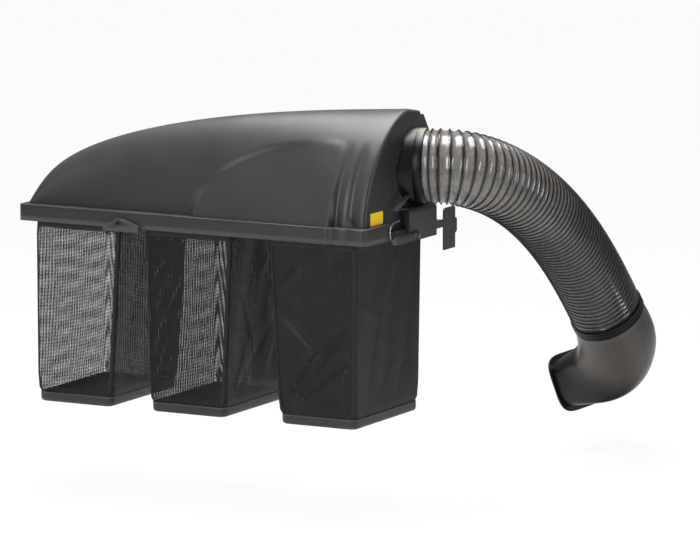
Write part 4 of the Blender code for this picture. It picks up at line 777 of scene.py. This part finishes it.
def hose_route(shares):
    """The duct's centre line by share of its length: straight over each spigot, a cubic curve between.
    Places and aims are read off a fine copy of the line at equal steps of length."""
    start = COLLAR_END + COLLAR_AIM * HOSE_GAP
    curve = cubic(np.linspace(0.0, 1.0, 900)[:, None],
                  start + COLLAR_AIM * HOSE_LEAD, start + COLLAR_AIM * HOSE_START_HOLD,
                  HOSE_END - HOSE_END_AIM * HOSE_END_HOLD, HOSE_END - HOSE_END_AIM * HOSE_LEAD)
    line = np.vstack([start, curve, HOSE_END])
    length = np.concatenate([[0.0], np.cumsum(np.linalg.norm(np.diff(line, axis=0), axis=1))])
    wanted, near = np.asarray(shares) * length[-1], 0.004
    places, ahead, back = [np.stack([np.interp(wanted + off, length, line[:, k]) for k in range(3)], axis=-1)
                           for off in (0.0, near, -near)]
    aims = ahead - back
    return places, aims / np.linalg.norm(aims, axis=1, keepdims=True)


def hose_mesh():
    """The film: its radius follows how far each point is between two turns of the wire, which climbs one
    pitch for every turn round the duct, and dishes in as a shallow arc."""
    sides, steps = 72, 7
    shares = np.linspace(0.0, 1.0, HOSE_TURNS * steps + 1)
    places, aims = hose_route(shares)
    phase = (shares[:, None] * HOSE_TURNS + np.arange(sides) / sides) % 1.0
    arc = np.abs(2 * phase - 1) ** HOSE_DISH_POWER
    ends = ease(np.minimum(shares, 1 - shares)[:, None] * HOSE_TURNS / 1.3)
    radii = HOSE_VALLEY + (HOSE_CREST - HOSE_VALLEY) * arc * ends - 0.0004 * (1 - ends)
    mesh = skin("hose_film", rings_along(places, aims, radii, sides), closed=True)
    lay_flat(mesh, "film", (np.arange(sides + 1) / sides)[None], shares[:, None])
    return mesh


def hose_film():
    """Smoky film: see-through and pale near the collar, darker towards the chute with painted shade that stands for
    the dark behind the clear film, glossy, with a cloudy mottle and a dark line along each turn of the wire."""
    material, tree, shader = new_material("smoky_film")
    flat = node(tree, "ShaderNodeSeparateXYZ", {0: node(tree, "ShaderNodeUVMap", uv_map="film").outputs["UV"]}).outputs
    place = node(tree, "ShaderNodeTexCoord").outputs["Object"]
    mottle = noise(tree, place, 60.0, 3.0)
    wander = ranged(tree, noise(tree, place, 11.0, 4.0), 0.0, 1.0, -0.12, 0.12)
    # Painted shade: the film darkens and grows less clear towards the chute, for the dark seen through it there.
    painted_shade_share = ranged(tree, calc(tree, "ADD", flat["Y"], wander), 0.34, 0.50, interpolation_type="SMOOTHSTEP")
    pale = blend(tree, mottle, screen(94, 90, 87), screen(162, 156, 151))
    shaded_film = blend(tree, mottle, screen(20, 20, 22), screen(106, 103, 103))
    climb = calc(tree, "ADD", calc(tree, "MULTIPLY", flat["Y"], float(HOSE_TURNS)), flat["X"])
    near = calc(tree, "ABSOLUTE", calc(tree, "SUBTRACT", calc(tree, "FRACT", climb), 0.5))
    line = ranged(tree, near, 0.26, 0.44, interpolation_type="SMOOTHSTEP")
    feed(tree, shader, {"Base Color": blend(tree, line, blend(tree, painted_shade_share, pale, shaded_film), screen(14, 13, 13)),
                        "Alpha": ranged(tree, painted_shade_share, 0.0, 1.0, 0.82, 0.97),
                        "Roughness": ranged(tree, mottle, 0.0, 1.0, 0.14, 0.26),
                        "Specular IOR Level": 0.7, "Coat Weight": 0.6, "Coat Roughness": 0.11})
    return material


hose_skin = make_piece("hose_film", hose_mesh(), hose_film(), sharp=180.0)
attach(hose_skin, "frame")
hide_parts("hose")


def wire_mesh():
    """The spring wire: a round section carried along a helix that climbs one pitch for each turn."""
    steps, sides = 44, 6
    shares = np.linspace(0.014, 0.986, HOSE_TURNS * steps)
    places, aims = hose_route(shares)
    side, up = cross_ways(aims)
    turn = -2 * math.pi * (shares * HOSE_TURNS)
    out = side * np.cos(turn)[:, None] + up * np.sin(turn)[:, None]
    centre = places + out * (HOSE_CREST - WIRE_INSET)
    section = np.linspace(0.0, 2 * math.pi, sides, endpoint=False)
    points = centre[:, None] + WIRE_RADIUS * (out[:, None] * np.cos(section)[None, :, None]
                                              + aims[:, None] * np.sin(section)[None, :, None])
    return skin("hose_wire", points, closed=True)


WIRE_BLACK = moulded("wire_black", screen(22, 20, 20), 0.30, dust_and_top_highlight=0.0, wear=0.0, grain=1200.0)
hose_wire = make_piece("hose_wire", wire_mesh(), WIRE_BLACK, sharp=180.0)
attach(hose_wire, "frame")


# The cuff: a black rubber band stretched over the hose's lower end.
# It has three low beads outside and is plain inside, where it grips the film.
CUFF_SECTION = [(-0.034, 0.1231), (-0.034, 0.1250), (-0.0325, 0.1262), (-0.030, 0.1266), (-0.027, 0.1252),
                (-0.024, 0.1252), (-0.021, 0.1264), (-0.018, 0.1264), (-0.015, 0.1252), (-0.012, 0.1252),
                (-0.009, 0.1266), (-0.006, 0.1266), (-0.003, 0.1258), (-0.001, 0.1252), (0.0, 0.1244),
                (0.0, 0.1231), (-0.034, 0.1231)]
cuff_band = make_piece("cuff_band", turned_piece("cuff_band", HOSE_END, HOSE_END_AIM, CUFF_SECTION), RUBBER,
                       sharp=50.0)
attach(cuff_band, "frame")
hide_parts("hose_cuff")


# The lower chute: one grey moulding, round at the neck, that turns and flattens towards the deck
# and ends in a flange round its mouth.
CHUTE_MOUTH = np.array([0.620, 1.560, -0.660])
CHUTE_MOUTH_AIM = np.array([-0.930, 0.0, -0.360]) / math.hypot(0.930, 0.360)
CHUTE_START_HOLD, CHUTE_END_HOLD = 0.150, 0.170
CHUTE_NECK, MOUTH_HALF_WIDTH, MOUTH_HALF_HEIGHT, CHUTE_BELLY = 0.1225, 0.150, 0.085, 0.020
ROUND, MOUTH_SQUARE = 2.0, 4.2
CHUTE_WALL, CHUTE_GAP = 0.004, 0.0006
FORWARD = np.array([0.0, 1.0, 0.0])


def chute_rings(places, aims, lies, across, over, square, sides):
    """Rings between an ellipse and a round-cornered rectangle: the power of a superellipse, ring by ring."""
    lies = lies - aims * np.sum(lies * aims, axis=1, keepdims=True)
    lies /= np.linalg.norm(lies, axis=1, keepdims=True)
    overs = np.cross(aims, lies)
    turn = np.linspace(0.0, 2 * math.pi, sides, endpoint=False)
    c, s = np.cos(turn)[None], np.sin(turn)[None]
    power = (2 / square)[:, None]
    a = np.sign(c) * np.abs(c) ** power * across[:, None]
    b = np.sign(s) * np.abs(s) ** power * over[:, None]
    return places[:, None] + lies[:, None] * a[..., None] + overs[:, None] * b[..., None]


def chute_mesh():
    """A cubic curve from the neck to the mouth carries the rings; the skin goes out along the outside,
    over the flange's edge and back along the inside."""
    neck_lie = cross_ways(HOSE_END_AIM)[1]
    start = HOSE_END + HOSE_END_AIM * CHUTE_GAP
    t = np.linspace(0.0, 1.0, 40)[:, None]
    hold_a, hold_b = start + HOSE_END_AIM * CHUTE_START_HOLD, CHUTE_MOUTH - CHUTE_MOUTH_AIM * CHUTE_END_HOLD
    line = cubic(t, start, hold_a, hold_b, CHUTE_MOUTH)
    aims = (3 * (1 - t) ** 2 * (hold_a - start) + 6 * (1 - t) * t * (hold_b - hold_a)
            + 3 * t ** 2 * (CHUTE_MOUTH - hold_b))
    aims /= np.linalg.norm(aims, axis=1, keepdims=True)
    blended = ease(t)
    lies = neck_lie * (1 - blended) + FORWARD * blended
    share = blended[:, 0]
    across = CHUTE_NECK + (MOUTH_HALF_WIDTH - CHUTE_NECK) * share
    over = CHUTE_NECK + (MOUTH_HALF_HEIGHT - CHUTE_NECK) * share + CHUTE_BELLY * np.sin(math.pi * t[:, 0])
    square = ROUND + (MOUTH_SQUARE - ROUND) * share

    def along(back, radius, forward, grow, thin):
        """The rings of one side of the wall: the neck's, the curve's and the lip's."""
        places = np.vstack([start + HOSE_END_AIM * back[:, None], line,
                            CHUTE_MOUTH + CHUTE_MOUTH_AIM * forward[:, None]])
        turns = np.vstack([np.tile(HOSE_END_AIM, (len(back), 1)), aims,
                           np.tile(CHUTE_MOUTH_AIM, (len(forward), 1))])
        hold = np.vstack([np.tile(neck_lie, (len(back), 1)), lies, np.tile(FORWARD, (len(forward), 1))])
        wide = np.concatenate([radius, across - thin, MOUTH_HALF_WIDTH - thin + grow])
        tall = np.concatenate([radius, over - thin, MOUTH_HALF_HEIGHT - thin + grow])
        shape = np.concatenate([np.full(len(back), ROUND), square, np.full(len(forward), MOUTH_SQUARE)])
        return chute_rings(places, turns, hold, wide, tall, shape, 80)

    neck, neck_radius = np.array([-0.035, -0.034, 0.0, 0.0]), np.array([0.1125, 0.1142, 0.1142, CHUTE_NECK])
    lip, lip_grow = np.array([0.0, 0.0, 0.0015, 0.0035, 0.005]), np.array([0.0, 0.0148, 0.016, 0.016, 0.0148])
    outer = along(neck, neck_radius, lip, lip_grow, 0.0)
    inner = along(np.array([-0.035, -0.010]), np.array([0.1102, 0.1102]), lip[-1:], np.array([0.0]), CHUTE_WALL)
    points = np.concatenate([outer, inner[::-1], outer[:1]], axis=0)
    mesh = skin("chute_moulding", points, closed=True)
    out_share = np.concatenate([np.zeros(len(neck)), t[:, 0], np.ones(len(lip))])
    back_share = np.concatenate([np.zeros(2), t[:, 0], np.ones(1)])[::-1]
    reach = np.concatenate([out_share, back_share, out_share[:1]])
    columns = points.shape[1]
    lay_flat(mesh, "chute", (np.arange(columns + 1) / columns)[None], reach[:, None])
    return mesh


def chute_plastic():
    """Grey plastic, rubbed in streaks along the chute, and painted almost black towards its mouth for the shade that
    falls there.
    """
    material = moulded("chute_grey", screen(74, 69, 65), 0.30, dust_and_top_highlight=0.06, wear=0.6, grain=500.0, depth=0.00008)
    tree = material.node_tree
    surface = next(n for n in tree.nodes if n.type == "GROUP")
    flat = node(tree, "ShaderNodeUVMap", uv_map="chute").outputs["UV"]
    along = node(tree, "ShaderNodeSeparateXYZ", {0: flat}).outputs["Y"]
    streaks = noise(tree, shift(tree, "MULTIPLY", flat, (60.0, 3.0, 1.0)), 1.0, 3.0)
    wander = ranged(tree, streaks, 0.0, 1.0, -0.05, 0.05)
    # Painted shade: the grey darkens to near black towards the mouth.
    painted_mouth_shade = ranged(tree, calc(tree, "ADD", along, wander), 0.30, 0.60, interpolation_type="SMOOTHSTEP")
    grey = blend(tree, streaks, screen(64, 59, 55), screen(92, 86, 81))
    feed(tree, surface, {"Colour": blend(tree, painted_mouth_shade, grey, screen(15, 14, 14))})
    return material


chute_moulding = make_piece("chute_moulding", chute_mesh(), chute_plastic(), sharp=40.0)
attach(chute_moulding, "frame")
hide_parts("lower_chute")


# The side latch: a ribbed lever of black plastic that turns on a pin in the steel bracket.
# The wire hook in its end pulls the hood's rim down.
LEVER_BLACK = moulded("lever_black", screen(34, 33, 35), 0.34, dust_and_top_highlight=0.05, wear=0.8)
dress(["latch_lever"], LEVER_BLACK)


# The studio: a pale floor under the chute, a white surround, and soft light from above, left and behind.
# A narrow lamp on the right only draws the line of glints along the duct.
GROUND, FLOOR_HALF = -0.385, 40.0
LAMPS = (("top_light", (0.0, 0.2, 4.0), (0.1, 0.0, 0.4), (3.0, 2.6), 215.0),
         ("left_light", (-4.2, -3.4, 2.6), (0.0, -0.2, 0.4), (1.2, 2.4), 18.0),
         ("rear_light", (0.3, -4.4, 2.0), (0.3, 0.0, 0.4), (0.7, 2.6), 68.0),
         ("glint_light", (4.4, -0.6, 1.4), (0.8, 0.4, 0.2), (0.3, 2.0), 30.0))


def aimed(name, data, place, way):
    """Sets a lamp or a camera at a place, looking along a way, upright."""
    held = bpy.data.objects.new(name, data)
    held.location = place
    held.rotation_mode = "QUATERNION"
    held.rotation_quaternion = Vector(way).to_track_quat("-Z", "Y")
    bpy.context.scene.collection.objects.link(held)
    return held


def studio():
    """The floor shows white to the camera but keeps a trace of its shadow; the surround lights softly."""
    corners = [(x * FLOOR_HALF, y * FLOOR_HALF, GROUND) for x, y in ((-1, -1), (1, -1), (1, 1), (-1, 1))]
    floor_mesh = bpy.data.meshes.new("floor")
    floor_mesh.from_pydata(corners, [], [(0, 1, 2, 3)])
    floor = bpy.data.objects.new("floor", floor_mesh)
    bpy.context.scene.collection.objects.link(floor)
    paper = bpy.data.materials.new("white_floor")
    paper.use_nodes = True
    tree = paper.node_tree
    tree.nodes.remove(tree.nodes["Principled BSDF"])
    matt = node(tree, "ShaderNodeBsdfDiffuse", {"Color": (0.86, 0.86, 0.86, 1.0)}).outputs[0]
    glow = node(tree, "ShaderNodeEmission", {"Color": (1.0, 1.0, 1.0, 1.0), "Strength": 1.04}).outputs[0]
    seen = calc(tree, "MULTIPLY", node(tree, "ShaderNodeLightPath").outputs["Is Camera Ray"], 0.90)
    mixed = node(tree, "ShaderNodeMixShader", {0: seen, 1: matt, 2: glow}).outputs[0]
    feed(tree, tree.nodes["Material Output"], {"Surface": mixed})
    floor_mesh.materials.append(paper)

    world = bpy.data.worlds.new("surround")
    bpy.context.scene.world = world
    world.use_nodes = True
    tree = world.node_tree
    light = tree.nodes["Background"]
    feed(tree, light, {"Color": (1.0, 1.0, 1.0, 1.0), "Strength": 0.26})
    shown = node(tree, "ShaderNodeBackground", {"Color": (1.0, 1.0, 1.0, 1.0), "Strength": 1.0}).outputs[0]
    seen = node(tree, "ShaderNodeLightPath").outputs["Is Camera Ray"]
    mixed = node(tree, "ShaderNodeMixShader", {0: seen, 1: light.outputs[0], 2: shown}).outputs[0]
    feed(tree, tree.nodes["World Output"], {"Surface": mixed})

    for name, place, aim, size, power in LAMPS:
        lamp = bpy.data.lights.new(name, "AREA")
        lamp.shape = "RECTANGLE"
        lamp.size, lamp.size_y = size
        lamp.energy = power
        held = aimed(name, lamp, place, Vector(aim) - Vector(place))
        held.visible_diffuse = name != "glint_light"
    bpy.context.scene.view_settings.view_transform = "Standard"


studio()


# The camera: a long lens far behind the collector, to its right and a little above it.
# Its focal length is in pixels of a 700 by 560 picture, where the middle of the rim's rear lower edge has a
# set place.
TURN, RISE = math.radians(29.75), math.radians(8.43)
PICTURE, FOCUS, DISTANCE = (700, 560), 6095, 19.53
RIM_SEEN_AT = (189.2, 232.8)


def camera():
    """Looks past the rim's middle so that it falls on its place in the picture."""
    view = np.array([-math.sin(TURN) * math.cos(RISE), math.cos(TURN) * math.cos(RISE), -math.sin(RISE)])
    right = np.array([math.cos(TURN), math.sin(TURN), 0.0])
    up = np.cross(right, view)
    middle = (view + right * (PICTURE[0] / 2 - RIM_SEEN_AT[0]) / FOCUS
              - up * (PICTURE[1] / 2 - RIM_SEEN_AT[1]) / FOCUS)
    eye = bpy.data.cameras.new("camera")
    eye.sensor_width = 36.0
    eye.lens = FOCUS * eye.sensor_width / PICTURE[0]
    eye.clip_start, eye.clip_end = 1.0, 200.0
    bpy.context.scene.camera = aimed("camera", eye, (RIM_PLACE - view * DISTANCE).tolist(), middle.tolist())


camera()
